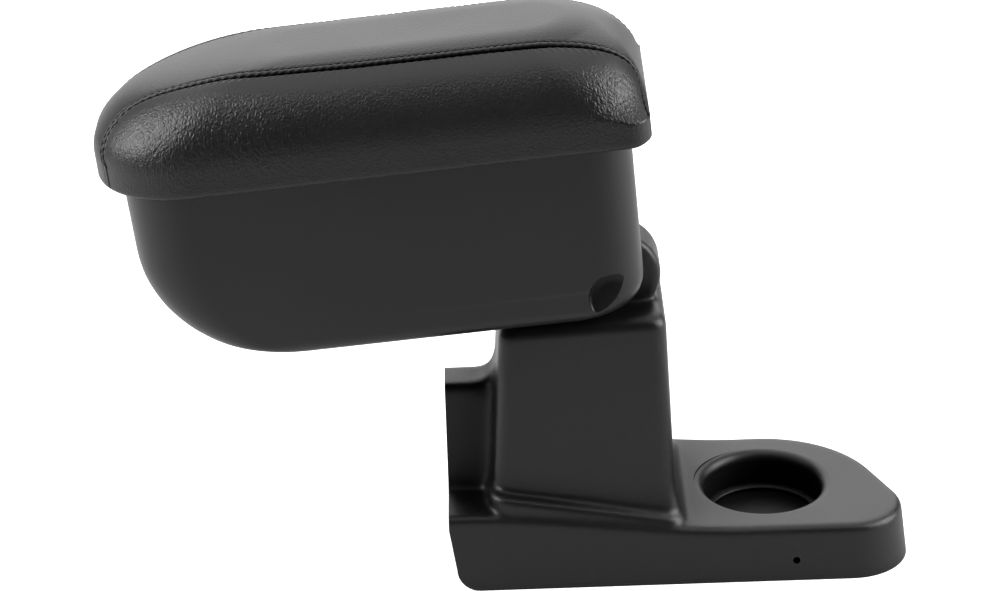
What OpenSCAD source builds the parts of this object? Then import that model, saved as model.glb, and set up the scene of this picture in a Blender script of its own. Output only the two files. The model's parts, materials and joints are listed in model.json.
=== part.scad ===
// Car centre armrest: a padded storage box that swings up on a steel post, carried by a
// thermoformed floor console with a cup holder.
// +X runs to the rear of the car, +Z is up and Y = 0 is the middle of the post.  The origin is
// the middle of the steel foot plates, on the plane that the console's rim stands on.

/* [Console] */
// Distance from the post's middle forward to the trimmed front edge
console_front = 81; // [70:1:100]
// Distance from the post's middle rearward to the slanted rear edge, on the middle plane
console_rear = 189.5; // [180:1:230]
// Width of the console across its rim
console_w = 127; // [120:1:150]
// Angle of the slanted rear edge in plan
rear_slant = 22.5; // [5:0.5:30]
// Corner radius of the rim at the left rear
rear_left_r = 37; // [20:1:45]
// Corner radius of the rim at the right rear
rear_right_r = 76; // [40:1:80]
// Height of the deck at the front
deck_front_h = 48; // [42:1:60]
// Height of the deck at the rear
deck_rear_h = 34; // [32:1:40]
// How far the deck's edge stands inside the rim
wall_inset = 4.3; // [2:0.1:8]
// Radius of the deck's edge
deck_edge_r = 5; // [3:0.5:8]
// Radius of the skirt's lower front corner
skirt_corner_r = 18; // [5:1:25]
// Thickness of the formed sheet
shell_t = 3; // [2:0.1:4]

/* [Cup holder] */
// Distance from the post's middle to the cup holder's middle
cup_x = 111; // [108:1:118]
// Bore of the cup holder
cup_d = 72; // [60:1:76]
// Depth of the cup holder below the deck
cup_depth = 24.5; // [15:0.5:26]
// Radius of the cup holder's lip
cup_lip_r = 4; // [2:0.5:6]
// Width of the ledge at the foot of the cup's wall
cup_ledge_w = 4; // [2:0.5:8]

/* [Plinth and post cover] */
// Distance that the plinth reaches forward of the post's middle
plinth_front = 60; // [58:1:66]
// Distance that the plinth reaches rearward of the post's middle
plinth_rear = 61; // [58:1:64]
// Width of the plinth
plinth_w = 113; // [108:1:116]
// Height of the plinth above the deck's front
plinth_front_rise = 12.5; // [8:0.5:16]
// Height of the plinth above the deck's rear
plinth_rear_rise = 4; // [3:0.5:8]
// Width of the post cover at its top
cover_top_w = 84; // [76:1:90]
// Width of the post cover at its foot
cover_foot_w = 98; // [92:1:104]
// Reach of the post cover forward, at its top
cover_top_front = 48; // [44:1:52]
// Reach of the post cover rearward, at its top
cover_top_rear = 51; // [48:1:54]
// Reach of the post cover forward, at its foot
cover_foot_front = 55; // [53:1:58]
// Reach of the post cover rearward, at its foot
cover_foot_rear = 56; // [54:1:58]
// Height of the post cover's top at the front
cover_front_h = 162.5; // [150:0.5:163]
// Height of the post cover's top at the rear
cover_rear_h = 168; // [155:0.5:168.5]
// Corner radius of the post cover in plan
cover_corner_r = 9; // [6:0.5:14]
// Radius of the post cover's top edge
cover_edge_r = 6; // [4:0.5:8]

/* [Front spine and neck] */
// Height of the spine's flat top
spine_h = 114; // [100:1:125]
// Width of the spine at its top
spine_top_w = 29; // [24:1:36]
// Width of the spine where it meets the deck
spine_foot_w = 44; // [38:1:56]
// Radius of the hollow between the spine and the post cover
spine_fillet_r = 13; // [8:1:18]
// Radius of the neck's rounded top
neck_r = 26.3; // [24:0.1:27]
// Width of the neck
neck_w = 33; // [32:0.5:36]
// Distance of the neck's round below the pivot
neck_drop = 9; // [5:0.5:10]
// Radius of the neck's side edges
neck_edge_r = 5; // [2:0.5:6]

/* [Pivot] */
// Distance of the pivot rearward of the foot plates' middle
pivot_x = 20; // [16:0.5:24]
// Height of the pivot above the rear of the post cover's top
pivot_rise = 21; // [20.5:0.5:28]
// Downward tilt of the arm's front at rest
arm_tilt = 5; // [3:0.5:6]
// Diameter of the pivot bolt
bolt_d = 10; // [8:0.5:12]
// Running clearance on the pivot bolt's radius
bolt_clear = 0.05; // [0.02:0.01:0.1]
// Wall of the flanged bushes
bush_wall = 1.5; // [1:0.1:2]
// Diameter of the bushes' flanges
bush_flange_d = 20; // [18:0.5:22]
// Thickness of the yoke's sheet
yoke_t = 3; // [2.5:0.1:4]
// Width of the nut and the bolt's head across flats
hex_af = 17; // [15:0.5:18]

/* [Steel post] */
// Thickness of the post plates
post_t = 4; // [3:0.5:5]
// Distance between the two post plates
post_gap = 17; // [16:0.5:17.5]
// Length of the foot flanges
foot_len = 90; // [80:1:96]
// Width of each foot flange
foot_w = 30; // [26:1:36]
// Spacing of the floor bolts along the car
floor_bolt_x = 66; // [50:1:72]
// Diameter of the floor bolt holes
floor_bolt_d = 8.5; // [6:0.5:10]
// Width of the post plates at the pivot
post_top_w = 25; // [22:0.5:25.5]
// Diameter of the tie bolt below the pivot
tie_bolt_d = 8; // [6:0.5:10]
// Height of the tie bolt
tie_bolt_z = 80; // [60:1:110]

/* [Storage box] */
// Distance from the pivot forward to the box's front, at the rim
box_front = 274; // [250:0.5:276]
// Distance from the pivot rearward to the box's rear, at the rim
box_rear = 20; // [19.5:0.1:22]
// Distance that the box's ends lean in towards the floor
box_end_draft = 1.8; // [1:0.1:2]
// Width of the box at its rim
box_w = 117; // [110:1:125]
// Distance that each side leans in towards the floor
box_side_draft = 1.2; // [0.5:0.1:2]
// Depth of the box's underside below the pivot
box_below = 15.3; // [13.5:0.1:16]
// Height of the box's rim above the pivot
box_rim_h = 101; // [92:1:115]
// Wall of the box
box_t = 2.8; // [2.2:0.1:3.2]
// Corner radius of the box's underside at the front
box_front_r = 66; // [35:1:75]
// Corner radius of the box's underside at the rear
box_rear_r = 20; // [16:0.5:22]
// Radius of the box's lower side edges
box_side_r = 10; // [8:0.5:14]
// Corner radius of the box in plan, at the front
box_plan_front_r = 38; // [36:1:44]
// Corner radius of the box in plan, at the rear
box_plan_r = 28; // [22:1:32]
// Width of the box's inward rim flange
rim_flange_w = 9; // [7:0.5:12]
// Diameter of the round recesses over the pivot
dimple_d = 30; // [24:1:34]
// Depth of the round recesses over the pivot
dimple_depth = 6; // [4:0.5:8]

/* [Lid] */
// Overhang of the lid past the box's front
lid_over_front = 15.3; // [14:0.1:30]
// Overhang of the lid past the box's rear
lid_over_rear = 11.4; // [11:0.1:14]
// Overhang of the lid past each side of the box
lid_over_side = 7; // [6.5:0.1:12]
// Height of the lid's lower edge above the pivot
lid_low = 95.5; // [90:0.5:97]
// Height of the padded lid from its lower edge
lid_h = 57; // [50:0.5:70]
// Corner radius of the lid in plan, at the front
lid_front_r = 59; // [54:1:60]
// Corner radius of the lid in plan, at the rear
lid_rear_r = 33; // [30:1:44]
// Distance between the two seams of the cover
seam_gap = 76; // [60:1:96]
// Thickness of the cover
cover_t = 1.3; // [1:0.1:2]
// Thickness of the lid's moulded tray
tray_t = 2.5; // [2:0.1:3]
// Radius of the lid's hinge pin
hinge_pin_r = 1.5; // [1.2:0.1:1.8]
// Length of the lid's hinge
hinge_len = 70; // [50:1:74]

/* [Magnet catch] */
// Length of the steel catch plate on the box's front rim
catch_len = 32; // [28:1:40]
// Radius of the two magnets in the lid
magnet_r = 4; // [3:0.5:4.5]

/* [Console fixing] */
// Diameter of the fixing hole in the left side wall
side_hole_d = 4.4; // [3.5:0.1:6]
// Distance from the post's middle to the side fixing hole
side_hole_x = 126.5; // [118:0.5:135]
// Height of the side fixing hole
side_hole_z = 13; // [10:0.5:16]

/* [Hidden] */
$fn = 48;
// Small overlap that makes cuts run past a face
e = 0.5;
// Running or seating gap between separate pieces
gap = 0.3;

console_hw = console_w / 2;
ramp_x0 = -console_front + 10;
ramp_x1 = cup_x - cup_d / 2 + 24;
cup_floor_z = deck_rear_h - cup_depth;
pivot_z = cover_rear_h + pivot_rise;
neck_x = pivot_x + 1;
neck_z = pivot_z - neck_drop;
neck_hw = neck_w / 2;
post_out = post_gap / 2 + post_t;
flange_out = neck_hw + 0.6;
ear_in = flange_out + gap;
ear_out = ear_in + yoke_t;
washer_t = 1.6;
head_h = 6.4;
bolt_r = bolt_d / 2;
bush_r = bolt_r + bolt_clear + bush_wall;
box_floor = -box_below + box_t;
slot_hw = neck_hw + 1.7;
hood_hw = ear_out + washer_t + 14;
hood_t = 2;
hood_front = 46;
hood_h = 36;
yoke_front = 128;
ear_r = 11;
yoke_screw_x = [-112, -64];
yoke_screw_y = 12;
mat_t = 5;
tray_z = box_rim_h + 3;
hinge_x = box_rear + 5.2;
hinge_z = box_rim_h - 1.6;
knuckle_r = 2.8;
leaf_t = 1.5;
lid_front = box_front + lid_over_front;
lid_rear = box_rear + lid_over_rear;
lid_hw = box_w / 2 + lid_over_side;
liner_hw = box_w / 2 - box_t - rim_flange_w - 1.2;

shell_colour = [0.16, 0.16, 0.165];
steel_colour = [0.55, 0.57, 0.6];
leather_colour = [0.13, 0.13, 0.135];

// Value between a and b at the share t
function mix(a, b, t) = a + (b - a) * t;
// Smooth step from 0 to 1
function smooth(t) = t <= 0 ? 0 : t >= 1 ? 1 : t * t * (3 - 2 * t);
// Height of the console's deck at x
function deck_z(x) = mix(deck_front_h, deck_rear_h, smooth((x - ramp_x0) / (ramp_x1 - ramp_x0)));
// Height of the post cover's top at x
function cover_z(x) = mix(cover_front_h, cover_rear_h,
  (x + cover_top_front) / (cover_top_front + cover_top_rear));

// Rounded rectangle in plan, anticlockwise, with its own radius at the x1 end and the x0 end
function plan(x0, x1, hw, r1, r0, n = 6) = [
  for (c = [[x1 - r1, hw - r1, 0, r1], [x0 + r0, hw - r0, 90, r0],
            [x0 + r0, r0 - hw, 180, r0], [x1 - r1, r1 - hw, 270, r1]])
    for (i = [0:n - 1]) let (a = c[2] + 90 * i / (n - 1)) [c[0] + c[3] * cos(a), c[1] + c[3] * sin(a)]];
// A plan outline lifted to the height z
function at_z(outline, z) = [for (p = outline) [p[0], p[1], z]];

// Solid through rings of equal length, listed from the bottom up, each anticlockwise from above.
// Its two flat ends are closed by one face each, or by strips across y when strips is true.
module loft(rings, strips = false) {
  n = len(rings[0]);
  m = len(rings);
  s = (n - 1) / 2;
  sides = [for (i = [0:m - 2]) for (j = [0:n - 1]) let (k = (j + 1) % n)
    each [[i * n + j, (i + 1) * n + j, (i + 1) * n + k], [i * n + j, (i + 1) * n + k, i * n + k]]];
  low = strips
    ? [for (j = [0:s - 1]) each j == s - 1 ? [[j, j + 1, n - 1 - j]]
        : [[j, j + 1, n - 2 - j], [j, n - 2 - j, n - 1 - j]]]
    : [[for (j = [0:n - 1]) j]];
  top = [for (f = low) [for (j = [len(f) - 1:-1:0]) f[j] + (m - 1) * n]];
  polyhedron(points = [for (r = rings) each r], faces = concat(sides, low, top), convexity = 6);
}

// Places its children in the arm's own frame: origin on the pivot, +X along the arm to the rear
module arm_frame() {
  translate([pivot_x, 0, pivot_z]) rotate([0, -arm_tilt, 0]) children();
}
// Cylinder of radius r along Y from y0 to y1, through the point x, z
module bar_y(x, z, r, y0, y1) {
  translate([x, y0, z]) rotate([-90, 0, 0]) cylinder(r = r, h = y1 - y0);
}
// Hexagonal prism along Y
module hex_y(x, z, af, y0, y1) {
  translate([x, y0, z]) rotate([-90, 0, 0]) cylinder(d = af / cos(30), h = y1 - y0, $fn = 6);
}
// Screw with a domed head of height hh above z, its shank reaching down by len
module screw(x, y, z, d, len, head_d, hh) {
  translate([x, y, z - len]) cylinder(d = d, h = len + 0.2);
  translate([x, y, z]) cylinder(d1 = head_d, d2 = head_d * 0.7, h = hh);
}

// Console

slant_c = cos(rear_slant);
slant_s = sin(rear_slant);
left_cy = -console_hw + rear_left_r;
right_cy = console_hw - rear_right_r;
left_cx = (console_rear * slant_c - rear_left_r - left_cy * slant_s) / slant_c;
right_cx = (console_rear * slant_c - rear_right_r - right_cy * slant_s) / slant_c;
// Rearmost x of the console's outline, drawn in by d
function tip_x(d) = left_cx + rear_left_r - d;
// y of the outline's left side at x, drawn in by d
function left_y(x, d) = x <= left_cx ? d - console_hw
  : left_cy - sqrt(max(0, pow(rear_left_r - d, 2) - pow(x - left_cx, 2)));
// y of the outline's right side at x, drawn in by d: straight, large round, slant, small round
function right_y(x, d) = let (r1 = rear_left_r - d, r2 = rear_right_r - d)
  x <= right_cx ? console_hw - d
  : x <= right_cx + r2 * slant_c ? right_cy + sqrt(max(0, r2 * r2 - pow(x - right_cx, 2)))
  : x <= left_cx + r1 * slant_c ? (console_rear * slant_c - d - x * slant_c) / slant_s
  : left_cy + sqrt(max(0, r1 * r1 - pow(x - left_cx, 2)));
// Stations along x from the front to the tip, closer together round the rear
bend_x = 92;
function stations(front, d) = concat(
  [for (i = [0:8]) mix(front, bend_x, i / 8)],
  [for (i = [1:12]) mix(bend_x, tip_x(d), sin(90 * i / 12))]);
// Ring of the console's outline drawn in by d, low below the deck, or on the level z
function console_ring(front, d, low, z = undef) = let (xs = stations(front, d), n = len(xs) - 1)
  concat([for (x = xs) [x, left_y(x, d), is_undef(z) ? deck_z(x) - low : z]],
    [for (j = [n - 1:-1:0]) [xs[j], right_y(xs[j], d), is_undef(z) ? deck_z(xs[j]) - low : z]]);

// Solid under the deck, drawn in by t on every side but the rim, its front at x = front
module console_solid(front, t) {
  loft(concat(
    [console_ring(front, t, 0, t > 0 ? -e : 0)],
    [for (a = [0:30:90]) console_ring(front, t + wall_inset + (deck_edge_r - t) * (1 - cos(a)),
      t + (deck_edge_r - t) * (1 - sin(a)))]), strips = true);
}
// Wedge-shaped step under the post cover
module plinth_solid(t) {
  function rise(x) = mix(plinth_front_rise, plinth_rear_rise,
    (x + plinth_front) / (plinth_front + plinth_rear));
  function top_z(x) = deck_front_h - (x + plinth_front) * (deck_front_h - deck_rear_h - 2)
    / (plinth_front + plinth_rear) + rise(x);
  function outline(d) = plan(d - plinth_front, plinth_rear - d, plinth_w / 2 - d, 12 - d, 12 - d);
  function ring(d, low) = [for (p = outline(d)) [p[0], p[1], top_z(p[0]) - low]];
  loft([at_z(outline(t), t > 0 ? 18 : 25),
    ring(t, 4), ring(t + 1.2, t + 1.2), ring(t + 4, t)]);
}
// Post cover: drafted, flared at the foot, sloping and rounded at the top
module cover_solid(t) {
  foot_z = 36;
  flare = 4;
  flare_h = 26;
  function ring(k, d, low) = let (
      u = max(0, 1 - k * (cover_front_h - foot_z) / flare_h), f = flare * u * u,
      x0 = -mix(cover_foot_front, cover_top_front, k) - f + d,
      x1 = mix(cover_foot_rear, cover_top_rear, k) + f - d,
      hw = mix(cover_foot_w, cover_top_w, k) / 2 + f - d)
    [for (p = plan(x0, x1, hw, cover_corner_r - t, cover_corner_r - t)) [p[0], p[1],
      mix(foot_z - (t > 0 ? 9 : 0), cover_z(p[0]) - cover_edge_r, k) + low]];
  r = cover_edge_r - t;
  loft(concat([for (k = [0, 0.06, 0.13, 0.21, 0.6, 1]) ring(k, t, 0)],
    [for (a = [30:30:90]) ring(1, t + r * (1 - cos(a)), r * sin(a))]));
}
// Narrow spine in front of the post cover, with the hollow that joins them
module spine_solid(front, t) {
  r = 4 - t / 2;
  back = -cover_top_front + 12;
  function ring(z, hw) = at_z([[back, hw], [front, hw], [front, -hw], [back, -hw]], z);
  loft(concat([ring(t > 0 ? 20 : 30, spine_foot_w / 2 + 2 - t), ring(deck_front_h, spine_foot_w / 2 - t)],
    [for (a = [0:30:90]) ring(spine_h - t - r * (1 - sin(a)), spine_top_w / 2 - t - r * (1 - cos(a)))]));
  wall_x = -mix(cover_foot_front, cover_top_front, 0.66) + t;
  hollow_r = spine_fillet_r + t;
  translate([0, spine_top_w / 2 - t - 3, 0]) rotate([90, 0, 0])
    linear_extrude(spine_top_w - 2 * t - 6) polygon(concat(
      [[wall_x + 6, spine_h - t - 4], [wall_x + 6, spine_h - t + hollow_r]],
      [for (a = [0:15:90]) [wall_x - hollow_r * (1 - cos(a)), spine_h - t + hollow_r * (1 - sin(a))]],
      [[wall_x - hollow_r, spine_h - t - 4]]));
}
// Round-topped tongue that passes up through the slot of the box
module neck_solid(t) {
  r = neck_r - t;
  hw = neck_hw - t;
  k = neck_edge_r - t / 2;
  translate([neck_x, 0, neck_z]) rotate([90, 0, 0]) rotate_extrude($fn = 64) polygon(concat(
    [[0, -hw]], [for (a = [-90:22.5:0]) [r - k + k * cos(a), -hw + k + k * sin(a)]],
    [for (a = [0:22.5:90]) [r - k + k * cos(a), hw - k + k * sin(a)]], [[0, hw]]));
  translate([neck_x, 0, 140]) linear_extrude(neck_z - 140) polygon(plan(-r, r, hw, k, k));
}
module cup_outer() {
  translate([cup_x, 0, cup_floor_z - shell_t])
    cylinder(d = cup_d + 2 * shell_t, h = cup_depth, $fn = 72);
}
module cup_hole() {
  step_h = 3;
  translate([cup_x, 0, cup_floor_z]) {
    cylinder(d = cup_d - 2 * cup_ledge_w, h = step_h + e, $fn = 72);
    translate([0, 0, step_h]) cylinder(d = cup_d, h = cup_depth + 10, $fn = 72);
    translate([0, 0, cup_depth]) rotate_extrude($fn = 72) polygon(concat(
      [[cup_d / 2 - 1, -cup_lip_r]],
      [for (a = [0:18:90]) [cup_d / 2 + cup_lip_r * (1 - cos(a)), -cup_lip_r + cup_lip_r * sin(a)]],
      [[cup_d / 2 + cup_lip_r, 6], [cup_d / 2 - 1, 6]]));
  }
}
module console_shell() {
  front = -console_front;
  color(shell_colour) difference() {
    union() {
      console_solid(front, 0);
      plinth_solid(0);
      cover_solid(0);
      spine_solid(front, 0);
      neck_solid(0);
    }
    difference() {
      union() {
        console_solid(front - 5, shell_t);
        plinth_solid(shell_t);
        cover_solid(shell_t);
        spine_solid(front - 5, shell_t);
        neck_solid(shell_t);
      }
      cup_outer();
    }
    cup_hole();
    translate([front, -console_w, 0]) rotate([-90, 0, 0]) linear_extrude(2 * console_w) difference() {
      translate([-e, -skirt_corner_r]) square([skirt_corner_r + e, skirt_corner_r + e]);
      translate([skirt_corner_r, -skirt_corner_r]) circle(r = skirt_corner_r);
    }
    bar_y(side_hole_x, side_hole_z, side_hole_d / 2, -console_w, 0);
    bar_y(pivot_x, pivot_z, bush_flange_d / 2 + 0.5, -neck_w, neck_w);
    for (y = [-1, 1]) translate([-16, y * buffer_y, 150]) cylinder(r = buffer_stem_r, h = 30);
  }
}

// Steel post

// One folded plate: a tapering upright with a round head, and a foot flange with two holes
module post_plate(side) {
  inner = post_gap / 2;
  foot_x = foot_len / 2;
  head_r = post_top_w / 2;
  top = [for (a = [-20:10:200]) [pivot_x + head_r * cos(a), pivot_z + head_r * sin(a)]];
  color(steel_colour) mirror([0, side > 0 ? 0 : 1, 0]) difference() {
    union() {
      translate([0, inner + post_t, 0]) rotate([90, 0, 0]) linear_extrude(post_t)
        polygon(concat([[-foot_x, 0], [foot_x, 0], [foot_x, 14], [neck_x + head_r + 2, 130]], top,
          [[neck_x - head_r - 2, 130], [-foot_x, 14]]));
      translate([-foot_x, inner, 0]) cube([foot_len, foot_w + post_t, post_t]);
    }
    bar_y(pivot_x, pivot_z, bush_r, 0, 40);
    bar_y(0, tie_bolt_z, tie_bolt_d / 2 + 0.05, 0, 40);
    for (x = [-1, 1]) translate([x * floor_bolt_x / 2, inner + post_t + foot_w / 2, -e])
      cylinder(d = floor_bolt_d, h = post_t + 2 * e);
  }
}
module post_plate_left() { post_plate(-1); }
module post_plate_right() { post_plate(1); }
module post_tie_bolt() {
  color(steel_colour) {
    bar_y(0, tie_bolt_z, tie_bolt_d / 2, -post_out - 0.2, post_out + 9);
    hex_y(0, tie_bolt_z, 13, -post_out - 5.3, -post_out);
    hex_y(0, tie_bolt_z, 13, post_out, post_out + 6.5);
  }
}
module tube_y(x, z, r_out, r_in, y0, y1) {
  difference() {
    bar_y(x, z, r_out, y0, y1);
    bar_y(x, z, r_in, y0 - 1, y1 + 1);
  }
}
module post_spacers() {
  color(steel_colour) {
    tube_y(0, tie_bolt_z, tie_bolt_d / 2 + 2.5, tie_bolt_d / 2 + 0.05, -post_gap / 2, post_gap / 2);
    tube_y(pivot_x, pivot_z, bush_r + 2, bolt_r + bolt_clear, -post_gap / 2, post_gap / 2);
  }
}
module pivot_bushes() {
  color([0.85, 0.84, 0.78]) for (s = [0, 1]) mirror([0, s, 0]) difference() {
    union() {
      bar_y(pivot_x, pivot_z, bush_r, post_gap / 2, post_out + 0.2);
      bar_y(pivot_x, pivot_z, bush_flange_d / 2, post_out, flange_out);
    }
    bar_y(pivot_x, pivot_z, bolt_r + bolt_clear, 0, 40);
  }
}
// Rubber stops on the post cover's top, on which the box's floor comes to rest
buffer_x = -16;
buffer_y = 27;
buffer_r = 7;
buffer_stem_r = 3;
module rest_buffers() {
  base_z = cover_z(buffer_x);
  top_local = -box_below - gap;
  color([0.1, 0.1, 0.1]) for (s = [-1, 1]) translate([0, s * buffer_y, 0]) difference() {
    union() {
      translate([buffer_x, 0, base_z - shell_t - 3]) cylinder(r = buffer_stem_r - 0.05, h = shell_t + 6);
      translate([buffer_x, 0, base_z - 0.2]) cylinder(r = buffer_r, h = 12);
    }
    arm_frame() translate([-80, -20, top_local]) cube([100, 40, 30]);
    translate([buffer_x - buffer_r - 2, -buffer_r - 2, 0]) multmatrix([[1, 0, 0, 0], [0, 1, 0, 0],
      [(cover_rear_h - cover_front_h) / (cover_top_front + cover_top_rear), 0, 1,
        cover_z(buffer_x - buffer_r - 2) - 20], [0, 0, 0, 1]])
      difference() {
        cube([2 * buffer_r + 4, 2 * buffer_r + 4, 20]);
        translate([buffer_r + 2, buffer_r + 2, -1]) cylinder(r = buffer_stem_r - 0.05, h = 30);
      }
  }
}

// Storage box

// Ring of the box at the height z in the arm's frame, drawn in by d
function box_ring(z, d) = let (
    k = (z + box_below) / (box_rim_h + box_below),
    hf = max(0, 1 - (z + box_below - d) / (box_front_r - d)),
    hr = max(0, 1 - (z + box_below - d) / (box_rear_r - d)),
    hs = max(0, 1 - (z + box_below - d) / (box_side_r - d)),
    x0 = -box_front + box_end_draft * (1 - k) + d + (box_front_r - d) * (1 - sqrt(max(0, 1 - hf * hf))),
    x1 = box_rear - box_end_draft * (1 - k) - d - (box_rear_r - d) * (1 - sqrt(max(0, 1 - hr * hr))),
    hw = box_w / 2 - box_side_draft * (1 - k) - d - (box_side_r - d) * (1 - sqrt(max(0, 1 - hs * hs))))
  at_z(plan(x0, x1, hw, box_plan_r - d, box_plan_front_r - d, 7), z);
module box_solid(d, top) {
  loft([for (h = [0, 0.6, 2, 4.5, 8, 12, 19, 28, 38, 52, top + box_below - d])
    box_ring(-box_below + d + min(h, top + box_below - d), d)]);
}
module box_shell() {
  side = box_w / 2 - box_side_draft;
  color([0.15, 0.15, 0.155]) arm_frame() difference() {
    union() {
      difference() {
        box_solid(0, box_rim_h);
        box_solid(box_t, box_rim_h - box_t);
        translate([0, 0, box_rim_h - box_t - e]) linear_extrude(box_t + 2 * e) polygon(plan(
          -box_front + box_t + rim_flange_w, box_rear - box_t - rim_flange_w,
          box_w / 2 - box_t - rim_flange_w, 14, 14));
      }
      for (s = [-1, 1]) intersection() {
        bar_y(0, 0, dimple_d / 2 + box_t, s > 0 ? side - dimple_depth - box_t : -side - 1,
          s > 0 ? side + 1 : -side + dimple_depth + box_t);
        box_solid(0.5, box_rim_h);
      }
    }
    for (s = [-1, 1]) bar_y(0, 0, dimple_d / 2, s > 0 ? side - dimple_depth : -side - 4,
      s > 0 ? side + 4 : -side + dimple_depth);
    neck_slot();
    for (x = yoke_screw_x) for (y = [-1, 1]) translate([x, y * yoke_screw_y, -box_below - e])
      cylinder(d = 5.2, h = box_t + 2 * e);
    for (y = [-1, 1]) translate([hood_screw_x, y * hood_screw_y, -box_below - e])
      cylinder(d = 4.1, h = box_t + 2 * e);
    for (y = [-1, 1]) translate([catch_x, y * catch_rivet_y, box_rim_h - box_t - e])
      cylinder(r = catch_rivet_r + 0.02, h = box_t + 2 * e);
    for (y = rivet_ys) bar_x(rivet_z, y, 1.6, box_rear - 8, box_rear + 4);
  }
}
// Cylinder of radius r along X from x0 to x1, through the point y, z
module bar_x(z, y, r, x0, x1) {
  translate([x0, y, z]) rotate([0, 90, 0]) cylinder(r = r, h = x1 - x0);
}
// Room for the neck in the floor and the rear wall, over the whole swing
module neck_slot() {
  translate([-neck_r - 3, -slot_hw, -box_below - e]) cube([neck_r + 3 + 60, 2 * slot_hw, box_t + 2 * e]);
  translate([-12, -slot_hw, -box_below - e]) cube([60, 2 * slot_hw, box_below + 31]);
}
module box_yoke() {
  color(steel_colour) arm_frame() difference() {
    union() {
      translate([-yoke_front, -ear_out, box_floor]) cube([yoke_front - neck_r - 4, 2 * ear_out, yoke_t]);
      for (s = [-1, 1]) translate([0, s > 0 ? ear_out : -ear_in, 0]) rotate([90, 0, 0])
        linear_extrude(yoke_t) polygon(concat(
          [[-80, box_floor], [-6, box_floor]],
          [for (a = [-75:15:90]) [ear_r * cos(a), ear_r * sin(a)]],
          [[-30, ear_r], [-80, box_floor + yoke_t]]));
    }
    bar_y(0, 0, bolt_r + 0.03, -60, 60);
    for (x = yoke_screw_x) for (y = [-1, 1]) translate([x, y * yoke_screw_y, box_floor - e])
      cylinder(d = 5.02, h = yoke_t + 2 * e);
  }
}
module yoke_screws() {
  color(steel_colour) arm_frame() for (x = yoke_screw_x) for (y = [-1, 1])
    translate([x, y * yoke_screw_y, -box_below]) rotate([180, 0, 0]) {
      cylinder(d1 = 10, d2 = 8, h = 2.4);
      translate([0, 0, -box_t - yoke_t]) cylinder(d = 5, h = box_t + yoke_t + 0.2);
    }
}
module pivot_bolt() {
  color(steel_colour) arm_frame() {
    bar_y(0, 0, bolt_r, -ear_out - washer_t - 0.2, ear_out + washer_t + 10);
    hex_y(0, 0, hex_af, -ear_out - washer_t - head_h, -ear_out - washer_t);
  }
}
module pivot_washers() {
  color([0.7, 0.7, 0.68]) arm_frame() for (s = [0, 1]) mirror([0, s, 0])
    tube_y(0, 0, 9, bolt_r + 0.03, ear_out, ear_out + washer_t);
}
module pivot_nut() {
  color(steel_colour) arm_frame() difference() {
    hex_y(0, 0, hex_af, ear_out + washer_t, ear_out + washer_t + 8);
    bar_y(0, 0, bolt_r + 0.01, 0, 60);
  }
}
// Moulded hood that closes the box's inside over the neck and the yoke
hood_screw_x = -hood_front - 6;
hood_screw_y = 30;
module pivot_hood() {
  rear_x = box_rear - box_end_draft - box_t - 0.8;
  color([0.14, 0.14, 0.145]) arm_frame() difference() {
    intersection() {
      union() {
        translate([-hood_front, -hood_hw, box_floor])
          cube([hood_front + rear_x, 2 * hood_hw, hood_h - box_floor]);
        for (y = [-1, 1]) translate([hood_screw_x - 5, y * hood_screw_y - 6, box_floor])
          cube([12, 12, hood_t]);
      }
      box_solid(box_t + 0.25, box_rim_h);
    }
    difference() {
      translate([-hood_front + hood_t, -hood_hw + hood_t, box_floor - 1])
        cube([hood_front + rear_x, 2 * hood_hw - 2 * hood_t, hood_h - box_floor - hood_t + 1]);
      translate([rear_x - hood_t, -hood_hw, 31.5]) cube([hood_t, 2 * hood_hw, 20]);
      for (s = [-1, 1]) translate([rear_x - hood_t, s > 0 ? slot_hw + 1 : -hood_hw, -30])
        cube([hood_t, hood_hw - slot_hw - 1, 80]);
    }
    translate([-hood_front - 8, -ear_out - 0.4, box_floor - 1]) cube([12, 2 * ear_out + 0.8, yoke_t + 1.4]);
    for (s = [-1, 1]) translate([-hood_front - 1, s > 0 ? ear_in - 0.4 : -ear_out - 0.4, box_floor - 1])
      cube([6, yoke_t + 0.8, ear_r - box_floor]);
    for (y = [-1, 1]) translate([hood_screw_x, y * hood_screw_y, box_floor - 1]) cylinder(d = 4.02, h = 10);
  }
}
module hood_screws() {
  color(steel_colour) arm_frame() for (y = [-1, 1])
    screw(hood_screw_x, y * hood_screw_y, box_floor + hood_t, 4, hood_t + box_t, 7, 2);
}
// Soft floor mat, hollowed underneath over the yoke
module box_mat() {
  color([0.2, 0.2, 0.2]) arm_frame() difference() {
    intersection() {
      box_solid(box_t + 0.6, box_rim_h);
      translate([-box_front, -box_w, box_floor + 0.05]) cube([box_front - 62, 2 * box_w, mat_t]);
    }
    translate([-yoke_front - 0.5, -ear_out - 0.5, box_floor - 1])
      cube([yoke_front, 2 * ear_out + 1, yoke_t + 1.35]);
    for (s = [-1, 1]) translate([-84, s > 0 ? ear_in - 0.5 : -ear_out - 0.5, box_floor])
      cube([40, yoke_t + 1, 20]);
  }
}
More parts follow.
